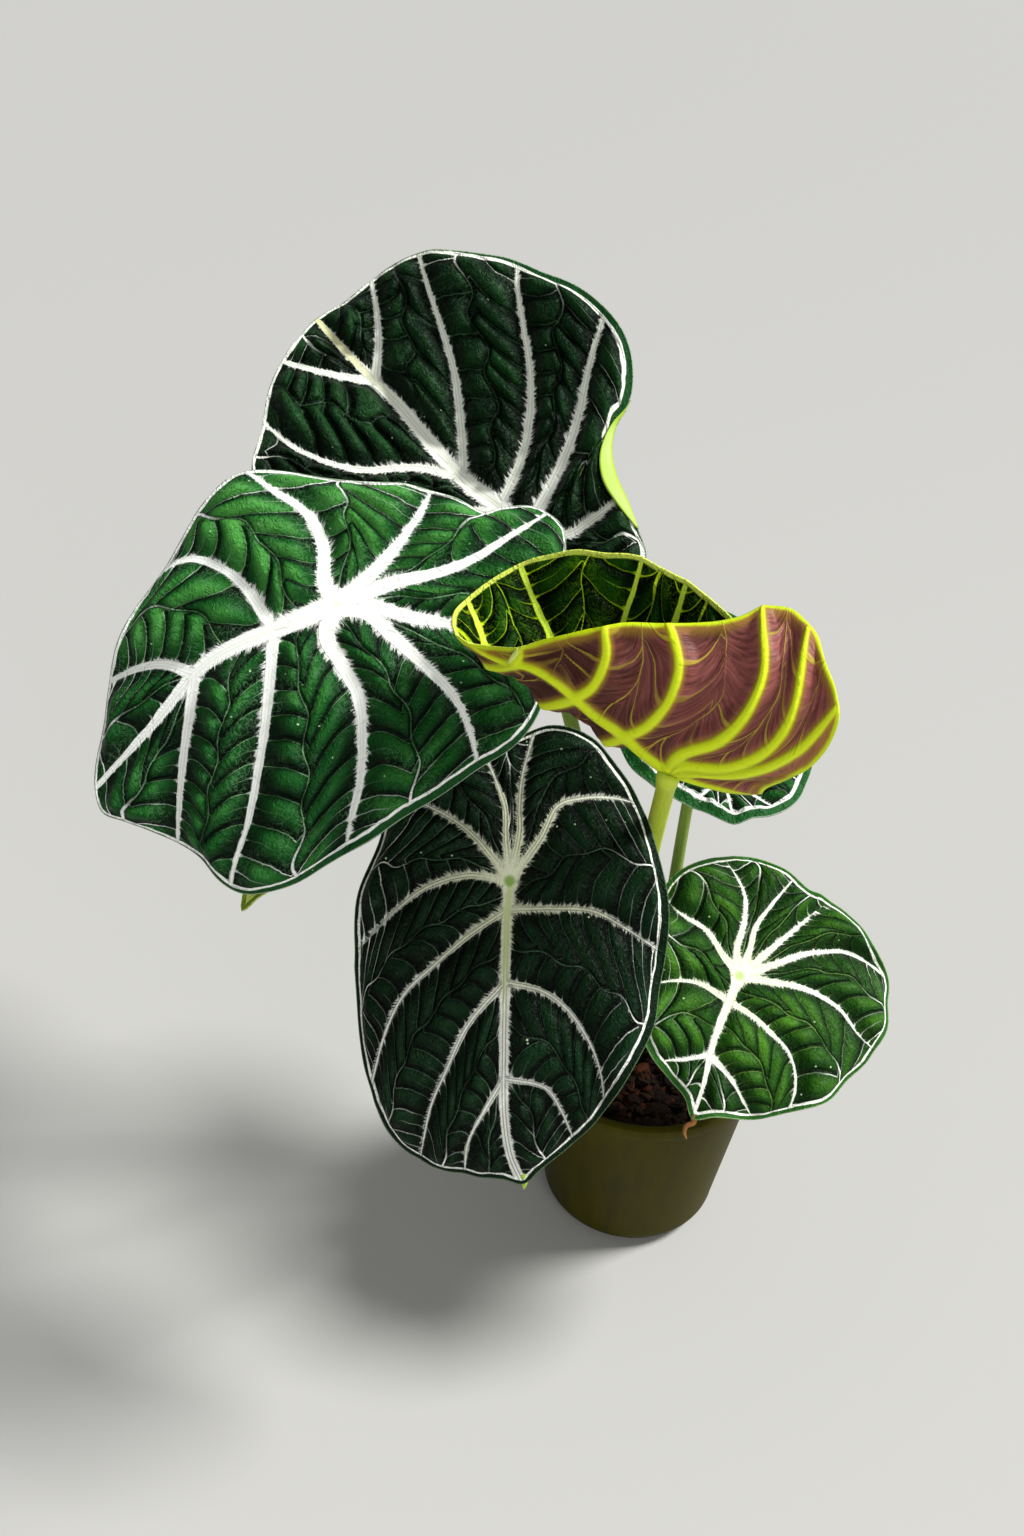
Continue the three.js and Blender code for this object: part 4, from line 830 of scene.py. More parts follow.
def leafUnder(name, tone):
    material, add = newMaterial(name)
    place = add("TexCoord", out=3)
    read = {key: add("Attribute", attribute_name=key, out=2) for key in underReads}
    noise = {key: add("TexNoise", {"Vector": place, "Scale": scale, "Detail": detail, "Roughness": rough})
             for key, (scale, detail, rough) in underNoises.items()}
    edge, rimGap, border = read["veinEdge"], read["rimGap"], tone["border"]
    waver = add("SUBTRACT", [noise["waver"], 0.5])
    number = add("MULTIPLY_ADD", [waver, 0.14, read["seamNumber"]])
    seamGap = add("MULTIPLY", [add("PINGPONG", [number, 0.5]), read["seamSpacing"]])
    seamHalf = add("SMOOTHSTEP", [edge, -6.0, 0.2, tone["seamHalf"], tone["seamHalf"] * 2.4])
    seam = add("SMOOTHSTEP", [add("DIVIDE", [seamGap, seamHalf]), 1.3, 0.4])
    pillow = add("ADD", [
        add("FLOOR", [add("ADD", [number, 0.5])]), add("MULTIPLY", [read["halfNumber"], 7.3])])
    pillow = add("TexWhiteNoise", {"W": pillow}, noise_dimensions="1D")
    seam = add("MULTIPLY", [seam, add("SMOOTHSTEP", [pillow, 0.35, 0.6, tone["seamLeast"], 1.0])])
    middle = add("ABSOLUTE", [add("MULTIPLY_ADD", [waver, 0.6, read["middleGap"]])])
    middle = add("SMOOTHSTEP", [add("DIVIDE", [middle, tone["middleHalf"]]), 1.5, 0.5])
    seen = add("SMOOTHSTEP", [noise["patchy"], 0.34, 0.6, 0.2, 1.0])
    seams = add("MULTIPLY", [add("MAXIMUM", [seam, middle]), seen])

    # the dull field with its streaks, painted light making it lighter towards plus x, and lime that bleeds
    # out of the ribs
    streak = add("CombineXYZ", [
        add("MULTIPLY", [read["seamNumber"], 7.0]), add("MULTIPLY", [read["middleGap"], 0.12])])
    streak = add("TexNoise", {"Vector": streak, "Scale": 1.0, "Detail": 3.0, "Roughness": 0.65})
    paintedSideLight = add("SMOOTHSTEP", [add("SeparateXYZ", [place]), tone["paintedLightFromX"], tone["paintedLightToX"], -0.18, 0.18])
    shade = summed(add, [(streak, 0.7), (noise["broad"], 0.6), (paintedSideLight, 1.0)])
    field = add("RGBA", [add("SMOOTHSTEP", [shade, 0.4, 0.95]), tone["deep"], tone["light"]])
    field = layered(add, field, [
        (add("SMOOTHSTEP", [edge, -tone["haloReach"], 0.0]), tone["glow"], tone["halo"]),
        (add("SMOOTHSTEP", [rimGap, border * 3.2, border * 0.6]), tone["borderGlow"], tone["halo"]),
        (seams, tone["seamShow"], tone["seam"])])
    rib = add("SMOOTHSTEP", [add("MULTIPLY_ADD", [waver, 0.6, edge]), -0.6, 0.3])
    ribTint = add("RGBA", [add("SMOOTHSTEP", [read["veinAway"], 0.0, 2.4]), tone["ribTop"], tone["rib"]])
    edging = add("SMOOTHSTEP", [add("ADD", [rimGap, waver]), border, border * 0.35])
    colour = add("MAXIMUM", [rib, add("MULTIPLY", [edging, tone["borderShow"]])])
    colour = add("RGBA", [colour, field, ribTint])
    lift = summed(add, [(rib, 0.25), (seams, 0.16), (streak, tone["streaks"]), (noise["grain"], 0.05)])
    rough = add("ADD", [noise["grain"], noise["broad"]])
    rough = add("SMOOTHSTEP", [rough, 0.6, 1.4, tone["roughness"], tone["roughness"] + 0.16])
    finishMaterial(add, lift, 1.0, mm, {
        "Base Color": colour, "Roughness": rough, "IOR": leafIor, "Specular IOR Level": tone["shine"],
        "Sheen Weight": tone["sheen"]})
    return material


# Stalk: each rises from the soil and swings out under its blade; reach is how far below the blade
# it leaves the underside square. The places repeat those of the plain solids.
stalkShape = {
    "bottom": 34, "straightFoot": 34, "leanShare": 0.35, "pull": 0.4, "rings": 40, "seatGap": 0.3,
    "intoBlade": 0.9, "taper": 0.25, "flare": 0.22, "flareFrom": 0.93, "streakLength": 0.04,
}


def stalkPath(leaf, foot, reach, leaveWay=None):
    # the middle of the stalk, from its foot in the soil to the blade, with its radius
    shape = stalkShape
    start = np.array([*foot, shape["bottom"]], float)
    hub = np.array(leaf["hub"], float)
    lean = np.array([*(hub[:2] - start[:2]) * shape["leanShare"], hub[2] - start[2]])
    lean /= np.linalg.norm(lean)
    leave = start + lean * shape["straightFoot"]
    under = -bladeShape["thickness"] - leaf["veinDepth"] - shape["seatGap"]
    end, normal = onLeaf(leaf, *leaf["midrib"][0], under)
    way = -normal if leaveWay is None else np.array(leaveWay, float) / np.linalg.norm(leaveWay)
    pull = np.linalg.norm(end - leave) * shape["pull"]
    t = np.linspace(0, 1, shape["rings"])[:, None]
    swing = (leave * (1 - t) ** 3 + 3 * (leave + lean * pull) * t * (1 - t) ** 2
             + 3 * (end + way * reach) * t ** 2 * (1 - t) + end * t ** 3)
    path = np.vstack([start, (start + leave) / 2, swing, end + normal * shape["intoBlade"]])
    share = np.concatenate([[0, 0], t[:, 0], [1]])
    radius = leaf["stalkRadius"] * (1 - shape["taper"] * share)
    return path, radius * (1 + shape["flare"] * smoothStep(shape["flareFrom"], 1.0, share))


def sweepTube(path, radius):
    # a closed round bar along a path, with its own radius at each point
    curve = added(bpy.ops.curve.primitive_nurbs_path_add).data
    curve.splines.clear()
    spline = curve.splines.new("POLY")
    spline.points.add(len(path) - 1)
    for point, place, size in zip(spline.points, path, radius):
        point.co = (*(place * mm), 1)
        point.radius = size
    curve.dimensions = "3D"
    curve.bevel_depth = mm
    curve.bevel_resolution = 8
    curve.use_fill_caps = True
    curve.twist_mode = "MINIMUM"
    bpy.ops.object.convert(target="MESH")
    bar = bpy.context.object
    applyPlace(bar)
    inEditMode(bar, joinDoubles, turnOutwards)
    return bar


def makeStalk(name, path, radius, material, slot):
    stalk = sweepTube(path, radius)
    # how far up the stalk each point is, and its own straight way along it, for the streaks
    points = np.array([v.co for v in stalk.data.vertices]) / mm
    run = runAlong(path)
    nearest = np.argmin(np.linalg.norm(points[:, None] - path[None], axis=2), axis=1)
    setAttribute(stalk, "upStalk", run[nearest] / run[-1])
    around = (points - path[nearest])[:, :2]
    lengthwise = run[nearest] * stalkShape["streakLength"]
    setAttribute(stalk, "roundStalk", np.column_stack([around, lengthwise]), kind="FLOAT_VECTOR")
    smoothed(stalk, [material])
    finishPiece(stalk, name + "Stalk", slot, name + "_stalk")


# Small ends: the thickened or dried point that a blade runs out into, laid along its sheet
pointShape = {"rings": 16, "softenTimes": 6}


def makeLeafPoint(name, leaf, points, radii, material, slot):
    path = onLeaf(leaf, *np.array(points, float).T)[0]
    fine, coarse = [np.linspace(0, 1, count) for count in (pointShape["rings"], len(points))]
    path = np.column_stack([np.interp(fine, coarse, path[:, k]) for k in (0, 1, 2)])
    point = sweepTube(path, np.interp(fine, coarse, radii))
    point.modifiers.new("soften", "SMOOTH").iterations = pointShape["softenTimes"]
    applyAll(point)
    smoothed(point, [material])
    finishPiece(point, name, slot)


# Rolled edge: where the margin curls over its own face and shows the underside
edgeCurl = {"steps": 32, "across": 8, "thickness": 0.6, "lift": 3.6, "base": 0.4, "steep": 0.7,
            "lateness": 1.5}


def makeEdgeCurl(name, leaf, fromShare, toShare, width, material, slot):
    steps, across = edgeCurl["steps"], edgeCurl["across"]
    along = np.linspace(fromShare, toShare, steps + 1)
    edge = readCurve(smoothCurve(leaf["margin"], closed=True), along)
    way = np.gradient(edge, axis=0)
    way /= np.linalg.norm(way, axis=1)[:, None]
    inward = np.column_stack([-way[:, 1], way[:, 0]])
    inward *= np.sign(inward @ -edge.mean(axis=0))[:, None]
    swell = np.sin(math.pi * np.linspace(0, 1, steps + 1) ** edgeCurl["lateness"])[:, None]
    over = np.linspace(0, 1, across + 1)[None]
    flat = edge[:, None] + inward[:, None] * (width * swell * over)[..., None]
    wave = leaf["wave"]["depth"] * np.sin(2 * math.pi * leaf["wave"]["count"] * along + leaf["wave"]["start"])
    lift = edgeCurl["lift"] * over ** edgeCurl["steep"] * swell + edgeCurl["base"] + wave[:, None]
    curl = added(bpy.ops.mesh.primitive_grid_add, x_subdivisions=across, y_subdivisions=steps, size=1)
    placePoints(curl, onLeaf(leaf, flat[..., 0], flat[..., 1], lift)[0])
    inEditMode(curl, joinDoubles)
    shell = curl.modifiers.new("shell", "SOLIDIFY")
    shell.thickness = edgeCurl["thickness"] * mm
    shell.offset = 0
    applyAll(curl)
    inEditMode(curl, turnOutwards)
    smoothed(curl, [material])
    finishPiece(curl, name, slot)


def turnRings(sides, rings):
    # a closed round body, drawn up ring by ring from its base
    radius, height = rings[0]
    body = added(bpy.ops.mesh.primitive_circle_add, vertices=sides, radius=radius * mm, fill_type="NGON",
                 location=(0, 0, height * mm))
    applyPlace(body)

    def drawUp():
        for (radius, height), (nextRadius, nextHeight) in zip(rings, rings[1:]):
            bpy.ops.mesh.extrude_region_move(
                TRANSFORM_OT_translate={"value": (0, 0, (nextHeight - height) * mm)})
            share = nextRadius / radius
            bpy.ops.transform.resize(value=(share, share, 1))

    inEditMode(body, drawUp, selectAll, turnOutwards)
    return body


# Pot: thin-walled moulded nursery pot with a rounded foot, a stepped rim and drain holes
potShape = {
    "height": 72, "baseRadius": 32, "rimRadius": 42.5, "rimWidth": 3.4, "rimDepth": 5, "rimStep": 1.6,
    "wall": 1.8, "floor": 2.4, "corner": 9, "outerSteps": 10, "innerSteps": 6, "sides": 144,
    "wallRings": (24, 40, 56, 65.6), "holeRadius": 3.5, "holeRing": 17, "holes": 6, "holeSides": 32,
    "cutterHeight": 8, "cutterMiddle": 1, "sharpAngle": 35,
}
# how far each ring of the rim's soft edges lies out from and above that edge
rimEdges = {
    "understep": [(-0.15, -0.5), (0.25, 0)], "step": [(-0.35, 0.5), (0, 1.1)],
    "outer": [(0, -1.3), (-0.25, -0.5), (-0.9, -0.06), (-1.7, 0)],
    "inner": [(0.9, 0), (0.25, -0.3), (0, -0.9)],
}


def roundCorner(radius, height, size, steps):
    turns = [-math.pi / 2 + math.pi / 2 * i / steps for i in range(steps + 1)]
    return [(radius - size + size * math.cos(a), height + size + size * math.sin(a)) for a in turns]


def wallRadius(height):
    shape = potShape
    rise = (height - shape["corner"]) / (shape["height"] - shape["rimDepth"] - shape["corner"])
    return shape["baseRadius"] + (shape["rimRadius"] - shape["rimStep"] - shape["baseRadius"]) * rise


def makePot(material):
    shape = potShape
    top, rim = shape["height"], shape["rimRadius"]
    start = top - shape["rimDepth"]
    inner = rim - shape["rimWidth"]
    wallTop = wallRadius(start)
    rings = roundCorner(shape["baseRadius"], 0, shape["corner"], shape["outerSteps"])
    rings += [(wallRadius(h), h) for h in shape["wallRings"]]
    edges = {"understep": (wallTop, start), "step": (rim, start), "outer": (rim, top), "inner": (inner, top)}
    for name, (radius, height) in edges.items():
        rings += [(radius + out, height + up) for out, up in rimEdges[name]]
    rings.append((wallTop - shape["wall"], start))
    corner = roundCorner(shape["baseRadius"] - shape["wall"], shape["floor"], shape["corner"] - shape["wall"],
                         shape["innerSteps"])
    pot = turnRings(shape["sides"], rings + corner[::-1])
    for k in range(shape["holes"]):
        turn = 2 * math.pi * k / shape["holes"]
        x, y = shape["holeRing"] * math.cos(turn), shape["holeRing"] * math.sin(turn)
        cutter = added(
            bpy.ops.mesh.primitive_cylinder_add, vertices=shape["holeSides"], radius=shape["holeRadius"] * mm,
            depth=shape["cutterHeight"] * mm,
            location=(x * mm, y * mm, shape["cutterMiddle"] * mm))
        drill = pot.modifiers.new("drainHole", "BOOLEAN")
        drill.object = cutter
        drill.solver = "EXACT"
        applyAll(pot)
        bpy.data.objects.remove(cutter)
    smoothed(pot, [material], shape["sharpAngle"])
    finishPiece(pot, "potShell", "pot", "pot")


# Potting mix: a dark bed with coarse bark chips and crumbs lying on it
soilShape = {"top": 62, "gap": 0.3, "rings": 22, "sides": 96, "bump": 1.6, "topFrom": 61.5, "flatEdge": 3,
             "sharpAngle": 40}


def mixHeight(x, y):
    # broad lumps, grit and fine crumbs, as waves of odd lengths
    lumps = np.sin(0.52 * x + 0.9 * np.sin(0.21 * y)) * np.sin(0.47 * y + 1.1)
    grit = np.sin(1.13 * x + 0.6) * np.sin(0.97 * y - 0.4 * x)
    fine = np.sin(2.9 * x + 1.3 * np.sin(1.7 * y)) * np.sin(3.1 * y + 0.7)
    return soilShape["bump"] * (0.6 * lumps + 0.3 * grit + 0.16 * fine)


def makeSoil(material):
    shape = soilShape
    top = shape["top"]
    inset = potShape["wall"] + shape["gap"]
    edge = wallRadius(top) - inset
    rings = roundCorner(potShape["baseRadius"] - inset, potShape["floor"] + shape["gap"],
                        potShape["corner"] - inset, potShape["innerSteps"])
    rings += [(edge * (1 - k / shape["rings"]), top) for k in range(shape["rings"])]
    bed = turnRings(shape["sides"], rings)
    for vertex in bed.data.vertices:
        x, y, z = vertex.co / mm
        if z > shape["topFrom"]:
            inward = min(1, (edge - math.hypot(x, y)) / shape["flatEdge"])
            vertex.co.z = (top + inward * float(mixHeight(x, y))) * mm
    smoothed(bed, [material], shape["sharpAngle"])
    finishPiece(bed, "soilBed", "soil", "soil")


# sizes that are pairs give the least and the most
barkShape = {
    "chips": 300, "crumbs": 520, "kinds": 6, "seed": 11, "clearOfStalk": 1.0, "clearOfWall": 1.2,
    "stalkShare": 0.5, "edgeShare": 0.55, "overEdge": 1.0, "cornerCut": 0.22, "swell": 0.16,
    "uneven": 0.045, "chipWide": (2.6, 6.2), "crumbWide": (1.0, 2.2),
    "acrossShare": (0.5, 0.9), "highShare": (0.28, 0.55), "turn": (0, 6.28), "tilt": 0.35,
    "raised": (0.1, 0.4),
    "sharpAngle": 50,
}


def makeBark(material, feet):
    # a few lumps are modelled, then copied over the bed
    shape = barkShape
    chance = np.random.default_rng(shape["seed"])
    edge = wallRadius(soilShape["top"]) - potShape["wall"] - shape["clearOfWall"]
    lumps = []
    for kind in range(shape["kinds"]):
        lump = added(bpy.ops.mesh.primitive_cube_add, size=1)
        inEditMode(lump, partial(bpy.ops.mesh.bevel, offset=shape["cornerCut"], segments=1, affect="EDGES"),
                   partial(bpy.ops.mesh.subdivide, number_cuts=1))
        for vertex in lump.data.vertices:
            vertex.co *= 1 + shape["swell"] * chance.standard_normal()
            vertex.co += Vector(chance.normal(0, shape["uneven"], 3))
        lumps.append(lump)
    pieces = []
    for number in range(shape["chips"] + shape["crumbs"]):
        away = edge * math.sqrt(chance.random())
        turn = 2 * math.pi * chance.random()
        x, y = away * math.cos(turn), away * math.sin(turn)
        wide = chance.uniform(*shape["chipWide" if number < shape["chips"] else "crumbWide"])
        if any(math.hypot(x - fx, y - fy) < radius + wide * shape["stalkShare"] for fx, fy, radius in feet):
            continue
        if away + wide * shape["edgeShare"] > edge + shape["overEdge"]:
            continue
        chip = lumps[number % shape["kinds"]].copy()
        chip.data = chip.data.copy()
        bpy.context.scene.collection.objects.link(chip)
        across, high = [wide * chance.uniform(*shape[key]) for key in ("acrossShare", "highShare")]
        size = Matrix.Diagonal((wide, across, high))
        turned = Matrix.Rotation(chance.uniform(*shape["turn"]), 3, "Z")
        for axis in "XY":
            turned = turned @ Matrix.Rotation(chance.normal(0, shape["tilt"]), 3, axis)
        lift = float(mixHeight(x, y)) + high * chance.uniform(*shape["raised"])
        middle = Vector((x, y, soilShape["top"] + lift))
        for vertex in chip.data.vertices:
            vertex.co = (turned @ (size @ vertex.co) + middle) * mm
        setAttribute(chip, "chipTone", np.full(len(chip.data.vertices), chance.random()))
        pieces.append(chip)
    for lump in lumps:
        bpy.data.objects.remove(lump)
    bpy.ops.object.select_all(action="DESELECT")
    for piece in pieces:
        piece.select_set(True)
    bpy.context.view_layer.objects.active = pieces[0]
    bpy.ops.object.join()
    bark = bpy.context.object
    smoothed(bark, [material], shape["sharpAngle"])
    finishPiece(bark, "barkChips", "soil")
    print("bark chips", len(pieces))


# Potting mix finish: damp peat with composted bark, dull, with a few reddish and pale fibres
def pottingMix(name, tone):
    material, add = newMaterial(name)
    place = add("TexCoord", out=3)
    lumps = add("TexNoise", {"Vector": place, "Scale": 240.0, "Detail": 4.0, "Roughness": 0.65})
    grit = add("TexNoise", {"Vector": place, "Scale": 1400.0, "Detail": 3.0, "Roughness": 0.7})
    chip = add("Attribute", attribute_name="chipTone", out=2)
    level = add("MULTIPLY_ADD", [chip, tone["chipSpread"], lumps])
    level = add("MapRange", [level, 0.3, 0.75 + tone["chipSpread"]])
    brown = layered(add, tone["dark"], [
        (level, 1.0, tone["brown"]), (add("MapRange", [chip, 0.72, 0.95]), 1.0, tone["red"]),
        (add("MapRange", [grit, 0.62, 0.8]), tone["fibres"], tone["pale"])])
    rough = add("MapRange", [grit, 0.3, 0.7, 0.7, 0.95])
    finishMaterial(add, add("ADD", [lumps, grit]), 0.9, 0.8 * mm, {
        "Base Color": brown, "Roughness": rough, "Specular IOR Level": 0.08})
    return material


# Pot finish: injection moulded polypropylene, olive, satin with a fine moulded grain and faint scuffs
def mouldedPlastic(name, tone):
    material, add = newMaterial(name)
    place = add("TexCoord", out=3)
    cloudy = add("TexNoise", {"Vector": place, "Scale": 30.0, "Detail": 3.0})
    grain = add("TexNoise", {"Vector": place, "Scale": 1800.0, "Detail": 2.0})
    upright = add("Mapping", {0: place, 3: (1.0, 1.0, 0.06)})
    streak = add("TexNoise", {"Vector": upright, "Scale": 260.0, "Detail": 3.0, "Roughness": 0.6})
    scuffPlace = add("Mapping", {0: place, 2: (0.3, 0.2, 0.0), 3: (1.0, 1.0, 3.0)})
    scuff = add("TexNoise", {"Vector": scuffPlace, "Scale": 420.0, "Detail": 4.0, "Roughness": 0.8})
    level = add("MapRange", [add("ADD", [cloudy, streak]), 0.7, 1.35])
    olive = layered(add, tone["deep"], [
        (level, 1.0, tone["main"]), (add("MapRange", [scuff, 0.64, 0.8]), tone["scuffs"], tone["worn"])])
    rough = add("MapRange", [level, 0.0, 1.0, tone["roughness"], tone["roughness"] + 0.1])
    finishMaterial(add, add("ADD", [grain, streak]), 0.18, 0.3 * mm, {
        "Base Color": olive, "Roughness": rough, "IOR": 1.49, "Specular IOR Level": 0.1})
    return material


# Stalk finish: smooth waxy leaf stalk, lime to grass green, with fine lengthwise streaks and faint flecks
def waxyStalk(name, tone):
    material, add = newMaterial(name)
    place = add("TexCoord", out=3)
    up = add("Attribute", attribute_name="upStalk", out=2)
    along = add("Attribute", attribute_name="roundStalk", out=1)
    streak = add("TexNoise", {"Vector": along, "Scale": 2.2, "Detail": 3.0, "Roughness": 0.6})
    cloudy = add("TexNoise", {"Vector": place, "Scale": 60.0, "Detail": 2.0})
    level = add("MapRange", [add("MULTIPLY_ADD", [cloudy, 0.4, up]), 0.3, 1.2])
    dots = add("TexVoronoi", {"Vector": place, "Scale": 420.0})
    green = layered(add, tone["foot"], [
        (level, 1.0, tone["top"]), (add("MapRange", [streak, 0.4, 0.72]), 0.5, tone["streak"]),
        (add("MapRange", [dots, 0.12, 0.2, 1.0, 0.0]), 0.35, tone["fleck"])])
    rough = add("MapRange", [cloudy, 0.3, 0.7, tone["roughness"], tone["roughness"] + 0.12])
    finishMaterial(add, streak, 0.25, 0.3 * mm, {
        "Base Color": green, "Roughness": rough, "IOR": leafIor, "Specular IOR Level": 0.45})
    return material


makePot(mouldedPlastic("mouldedOlivePlastic", {
    "deep": "302d00", "main": "3f3b01", "worn": "59541a", "scuffs": 0.12, "roughness": 0.5}))
print("pot made")

mix = pottingMix("dampPottingMix", {
    "dark": "040302", "brown": "2a1a10", "red": "442010", "pale": "6a523a", "fibres": 0.4,
    "chipSpread": 0.5})
makeSoil(mix)

plants = [
    {"name": "back", "leaf": backLeaf, "foot": (-6, 22), "reach": 26},
    {"name": "left", "leaf": leftLeaf, "foot": (-20, 14), "reach": 26},
    {"name": "new", "leaf": newLeaf, "foot": (-9, 11), "reach": 52, "leaveWay": (0.06, 0.66, -0.75)},
    {"name": "front", "leaf": frontLeaf, "foot": (-17, 3), "reach": 20},
    {"name": "right", "leaf": rightLeaf, "foot": (8, 9), "reach": 16},
    {"name": "middle", "leaf": middleLeaf, "foot": (5, 21), "reach": 16},
    {"name": "young", "leaf": youngLeaf, "foot": (-16, 24), "reach": 16},
]
stalks = [stalkPath(plant["leaf"], plant["foot"], plant["reach"], plant.get("leaveWay"))
          for plant in plants]
feet = []
for path, radius in stalks:
    level = np.argmin(np.abs(path[:, 2] - soilShape["top"]))
    feet.append((path[level, 0], path[level, 1], radius[level] + barkShape["clearOfStalk"]))
makeBark(mix, feet)

greenStalk = waxyStalk("greenWaxyStalk", {
    "foot": "4d6a25", "top": "7f9a34", "streak": "9fb257", "fleck": "3c5a1e", "roughness": 0.42})
limeStalk = waxyStalk("limeWaxyStalk", {
    "foot": "7f9420", "top": "b9cc2c", "streak": "cfdc5a", "fleck": "8aa022", "roughness": 0.4})
for plant, (path, radius) in zip(plants, stalks):
    lime = plant["name"] == "new"
    makeStalk(plant["name"], path, radius, limeStalk if lime else greenStalk,
              "new_stalk" if lime else "stalk")
print("stalks made")

limeUnder = leafUnder("paleGreenUnderside", paleUnder)
# the crease colours below are painted shade and the light colours painted highlights
skins = {
    "back": greenSkin | {
        "deep": "010702", "top": "06200b", "light": "1f5220", "seam": "4f7f50", "vein": "f4f6ea",
        "felt": "f4f6ea", "cord": "cfd0a0", "cordShow": 0.1, "cordHalf": 1.6, "cordFrom": 55.0,
        "cordTo": 95.0, "cordTip": 1.0, "grooveShow": 0.5, "twinGap": 0.5, "creaseShadeShow": 0.9,
        "creaseWide": 1.9, "creaseDeep": 0.8, "hairNearHub": 2.8, "hairFade": 130.0, "hairThick": 0.95,
        "bareSide": 0.9, "roundHalf": 0.55, "seamShow": 0.35, "seamLeast": 0.1, "paintedSlopeLight": 0.4,
        "shine": 0.1},
    # the left leaf's upper part gets painted light
    "left": greenSkin | {
        "paintedLightFrom": 0.225, "paintedLightTo": 0.285, "paintedLightShift": 0.13, "hairNearHub": 3.0, "hairFade": 80.0},
    "front": greenSkin | {
        "deep": "010602", "top": "041806", "light": "12351a", "crease": "000301", "seam": "46674a",
        "vein": "f8faf0", "hub": "d8dcbc", "hubReach": 50.0, "groove": "4a5030", "grooveShow": 0.6,
        "felt": "c8caae", "feltShow": 0.6, "cord": "b4c088", "cordShow": 0.9, "cordFrom": 14.0,
        "cordTo": 44.0, "dimple": "6c9434", "dimpleShow": 0.8, "band": "071d0c", "rim": "6f8a60",
        "hairGap": 0.45, "hairNearHub": 2.2, "hairFar": 1.2, "fringe": 0.3, "netShow": 0.1, "seamShow": 0.6,
        "middleWide": 0.24, "thornLeast": 0.0, "shine": 0.1},
    "right": greenSkin | {
        "deep": "072204", "top": "174309", "light": "589422", "seam": "7ca648", "hub": "e2ecc4",
        "vein": "f8faee", "rim": "a9c48c", "band": "265a1c", "dimple": "a9c870", "dimpleShow": 0.8,
        "specks": 1.0, "hairNearHub": 1.5, "hairFar": 0.4, "thornLeast": 0.0, "seamWide": 0.35,
        "seamShow": 0.45, "netShow": 0.1, "bulge": 0.2, "creaseShadeShow": 0.4, "creaseWide": 0.9,
        "paintedSlopeLight": 0.4, "middleWide": 0.3},
    "middle": greenSkin | {
        "deep": "041a08", "top": "145018", "light": "47893a", "band": "1c5424", "netShow": 0.1,
        "middleWide": 0.2, "thornLeast": 0.0, "seamShow": 0.5, "roundHalf": 0.6},
    "young": greenSkin | {
        "deep": "3a5a18", "top": "5f7f22", "light": "7f9a30", "crease": "2c4712", "hub": "d5df7a",
        "band": "6f8a26", "rim": "cdda70", "seam": "a3b64c", "groove": "a3b64c", "vein": "c9d66a",
        "cord": "c9d66a", "felt": "c9d66a", "dimple": "c9d66a"},
}
# here too crease is painted shade and light a painted highlight
limeInside = greenSkin | {
    "vein": "c0e01c", "hub": "c0e01c", "felt": "c0e01c", "dimple": "c0e01c", "deep": "010800",
    "top": "051e01", "light": "225204", "crease": "010500", "seam": "98c41c", "groove": "dcee80",
    "band": "9cba24", "rim": "cfde5c", "cord": "c8e040", "speck": "7fa81c", "hairNearHub": 0.6,
    "hairFar": 0.6, "bandShow": 1.0, "rimLine": 1.5, "rimShow": 1.0, "roundShow": 0.6, "specks": 0.2,
    "seamShow": 0.85, "seamHalf": 0.24, "seamLeast": 0.45, "middleWide": 0.6, "netShow": 0.12,
    "shine": 0.04}
# its field too grows lighter and pinker towards plus x as painted light
purpleUnder = paleUnder | {
    "deep": "3c180c", "light": "9c5852", "halo": "a5821a", "seam": "b8a62c", "rib": "c2d808",
    "ribTop": "d4e61c", "seamShow": 0.75, "glow": 0.7, "haloReach": 1.6, "border": 1.3, "borderShow": 1.0,
    "borderGlow": 0.6, "streaks": 0.3, "seamHalf": 0.3, "seamLeast": 0.0, "roughness": 0.36, "shine": 0.2}
shapes = {
    "back": {"bandPeak": 0.72, "band": 0.5, "bandMore": 2.2, "puff": 2.8, "seamSpacing": 9.5,
             "veinScale": 0.82, "ribStart": 1.6, "ribEnd": 0.45, "veinEnd": 0.3, "fine": 0.2, "drift": 0.5,
             "seamLag": 0.55, "lagUneven": 0.6, "zig": 0.07, "sway": 0.07},
    "left": {"bandPeak": 0.27, "band": 0.5, "bandMore": 2.2, "puff": 1.9, "fine": 0.2, "veinScale": 0.74,
             "veinEnd": 0.22, "seamSpacing": 7.8},
    "new": {"slot": "new_blade", "band": 0.9, "bandMore": 0, "puff": 0.5, "seamSpacing": 9.0,
            "veinScale": 0.8, "veinEnd": 0.4},
    "front": {"band": 1.4, "bandMore": 1.4, "bandPeak": 0.2, "puff": 1.0, "seamSpacing": 6.4,
              "veinScale": 0.56, "ribEnd": 0.95, "veinEnd": 0.22},
    "right": {"columns": 18, "rows": 72, "band": 1.5, "bandMore": 1.0, "seamSpacing": 7.2,
              "veinScale": 0.54},
    "middle": {"columns": 12, "rows": 50, "band": 3.0, "bandMore": 1.5, "seamSpacing": 9.0,
               "veinScale": 0.55},
    "young": {"slot": "young_blade", "columns": 12, "rows": 50, "puff": 0.5, "dome": 0.03},
}
for plant in plants:
    name = plant["name"]
    if name == "new":
        materials = [leafSkin("newLeafInside", limeInside), leafUnder("newLeafUnderside", purpleUnder)]
    else:
        materials = [leafSkin(name + "LeafSkin", skins[name]), limeUnder]
    makeBlade(name, plant["leaf"], bladeShape | shapes[name], materials)

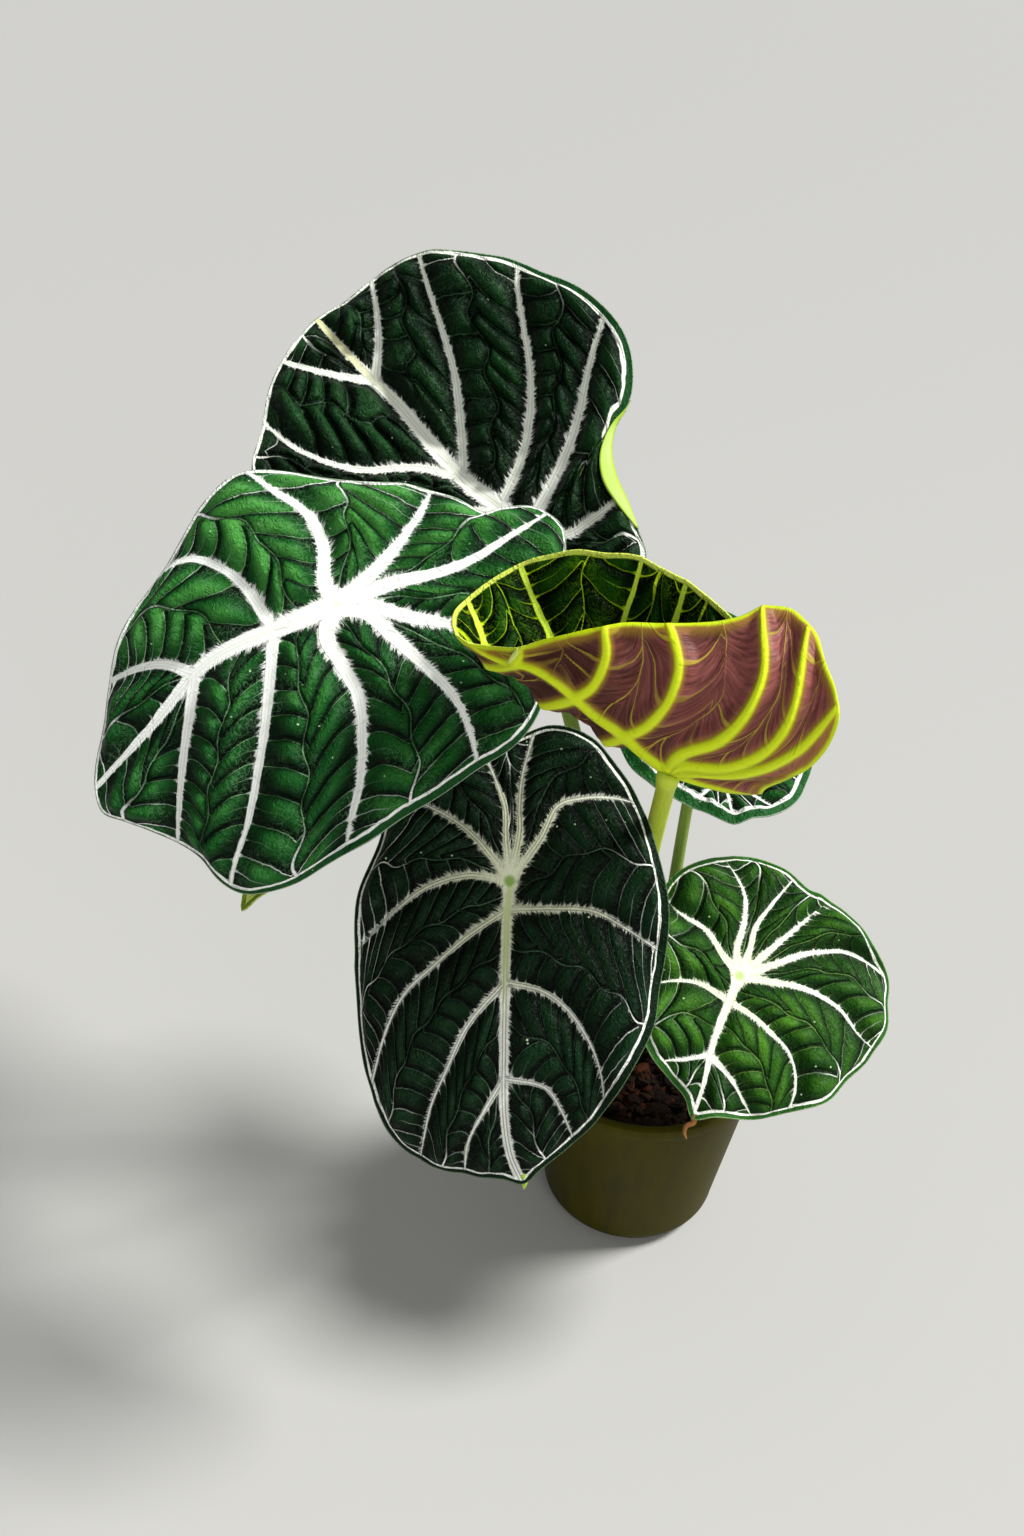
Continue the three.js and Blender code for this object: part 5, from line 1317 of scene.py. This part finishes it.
limeTissue = waxyStalk("limeEdgeTissue", {
    "foot": "93b81a", "top": "b2d434", "streak": "cfe070", "fleck": "8aac1c", "roughness": 0.42})
makeEdgeCurl("backEdgeCurl", backLeaf, fromShare=0.668, toShare=0.56, width=4.4, material=limeTissue,
             slot="blade")
makeLeafPoint("frontTip", frontLeaf, [(83, 0, 0), (86, 0.2, 0.2), (89, -0.3, -0.6)], [1.5, 1.1, 0.25],
              limeTissue, "blade")
dryTissue = waxyStalk("driedLeafTip", {
    "foot": "8a5a2a", "top": "6a3c1a", "streak": "a87840", "fleck": "4a2a12", "roughness": 0.7})
dryPoints = [(45.5, -1, 0), (48, 0.4, 0.2), (49.6, -1.8, -0.4), (52.2, -1.4, -1), (53.8, 0.2, -1)]
makeLeafPoint("rightDriedTip", rightLeaf, dryPoints, [1.1, 1, 0.8, 0.6, 0.2], dryTissue, "blade")
creamTissue = waxyStalk("paleLeafPoint", {
    "foot": "c6d65a", "top": "d4e07a", "streak": "e4eca4", "fleck": "b4c24a", "roughness": 0.4})
makeLeafPoint("newTip", newLeaf, [(46.8, 15, -0.4), (47.2, 11.5, -1.1), (47.4, 7.2, -1.2)],
              [0.9, 0.8, 0.15], creamTissue, "new_blade")
print("small ends made")

# Stage: a plain pale floor, soft studio light and the photograph's camera
floor = added(bpy.ops.mesh.primitive_plane_add, size=40, location=(0, 0, 0))
floor.name = "floor"
floorPaint, add = newMaterial("matPaleFloor")
paper = add("RGBA", [add("TexNoise", {"Scale": 3.0, "Detail": 2.0}), "adaca8", "b2b1ae"])
add("OutputMaterial", [add("BsdfPrincipled", {"Base Color": paper, "Roughness": 0.85})])
floor.data.materials.append(floorPaint)

world = bpy.data.worlds.new("studio")
bpy.context.scene.world = world
world.use_nodes = True
background = world.node_tree.nodes["Background"].inputs
background["Color"].default_value = linear("e6e8ea")
background["Strength"].default_value = 0.36
crown = (-0.03, 0, 0.2)


def addLight(name, kind, place, **settings):
    # the light looks at the middle of the crown of leaves
    light = added(bpy.ops.object.light_add, type=kind, location=place)
    light.name = name
    light.rotation_euler = (Vector(crown) - Vector(place)).to_track_quat("-Z", "Y").to_euler()
    for setting, value in settings.items():
        setattr(light.data, setting, value)


# a broad key from the upper right, as in the photograph, and a weak fill from the front
addLight("keyLight", "SUN", (0.75, 0.12, 1.1), angle=math.radians(16), energy=5.0)
addLight("fillLight", "AREA", (0.35, -1.3, 0.75), shape="DISK", size=0.9, energy=7)

bpy.context.scene.view_settings.view_transform = "Standard"
cameraPlace = Vector((-52, -392, 446)) * mm
pitch, roll = math.radians(33.5), math.radians(3)
forward = Vector((0, math.cos(pitch), -math.sin(pitch)))
level, upright = Vector((1, 0, 0)), Vector((0, math.sin(pitch), math.cos(pitch)))
right = level * math.cos(roll) + upright * math.sin(roll)
up = upright * math.cos(roll) - level * math.sin(roll)
camera = added(bpy.ops.object.camera_add, location=cameraPlace)
camera.name = "photoCamera"
turned = Matrix((right, up, -forward)).transposed().to_4x4()
camera.matrix_world = Matrix.Translation(cameraPlace) @ turned
camera.data.lens = 35
camera.data.sensor_width = 36
bpy.context.scene.camera = camera

print("scene ready")
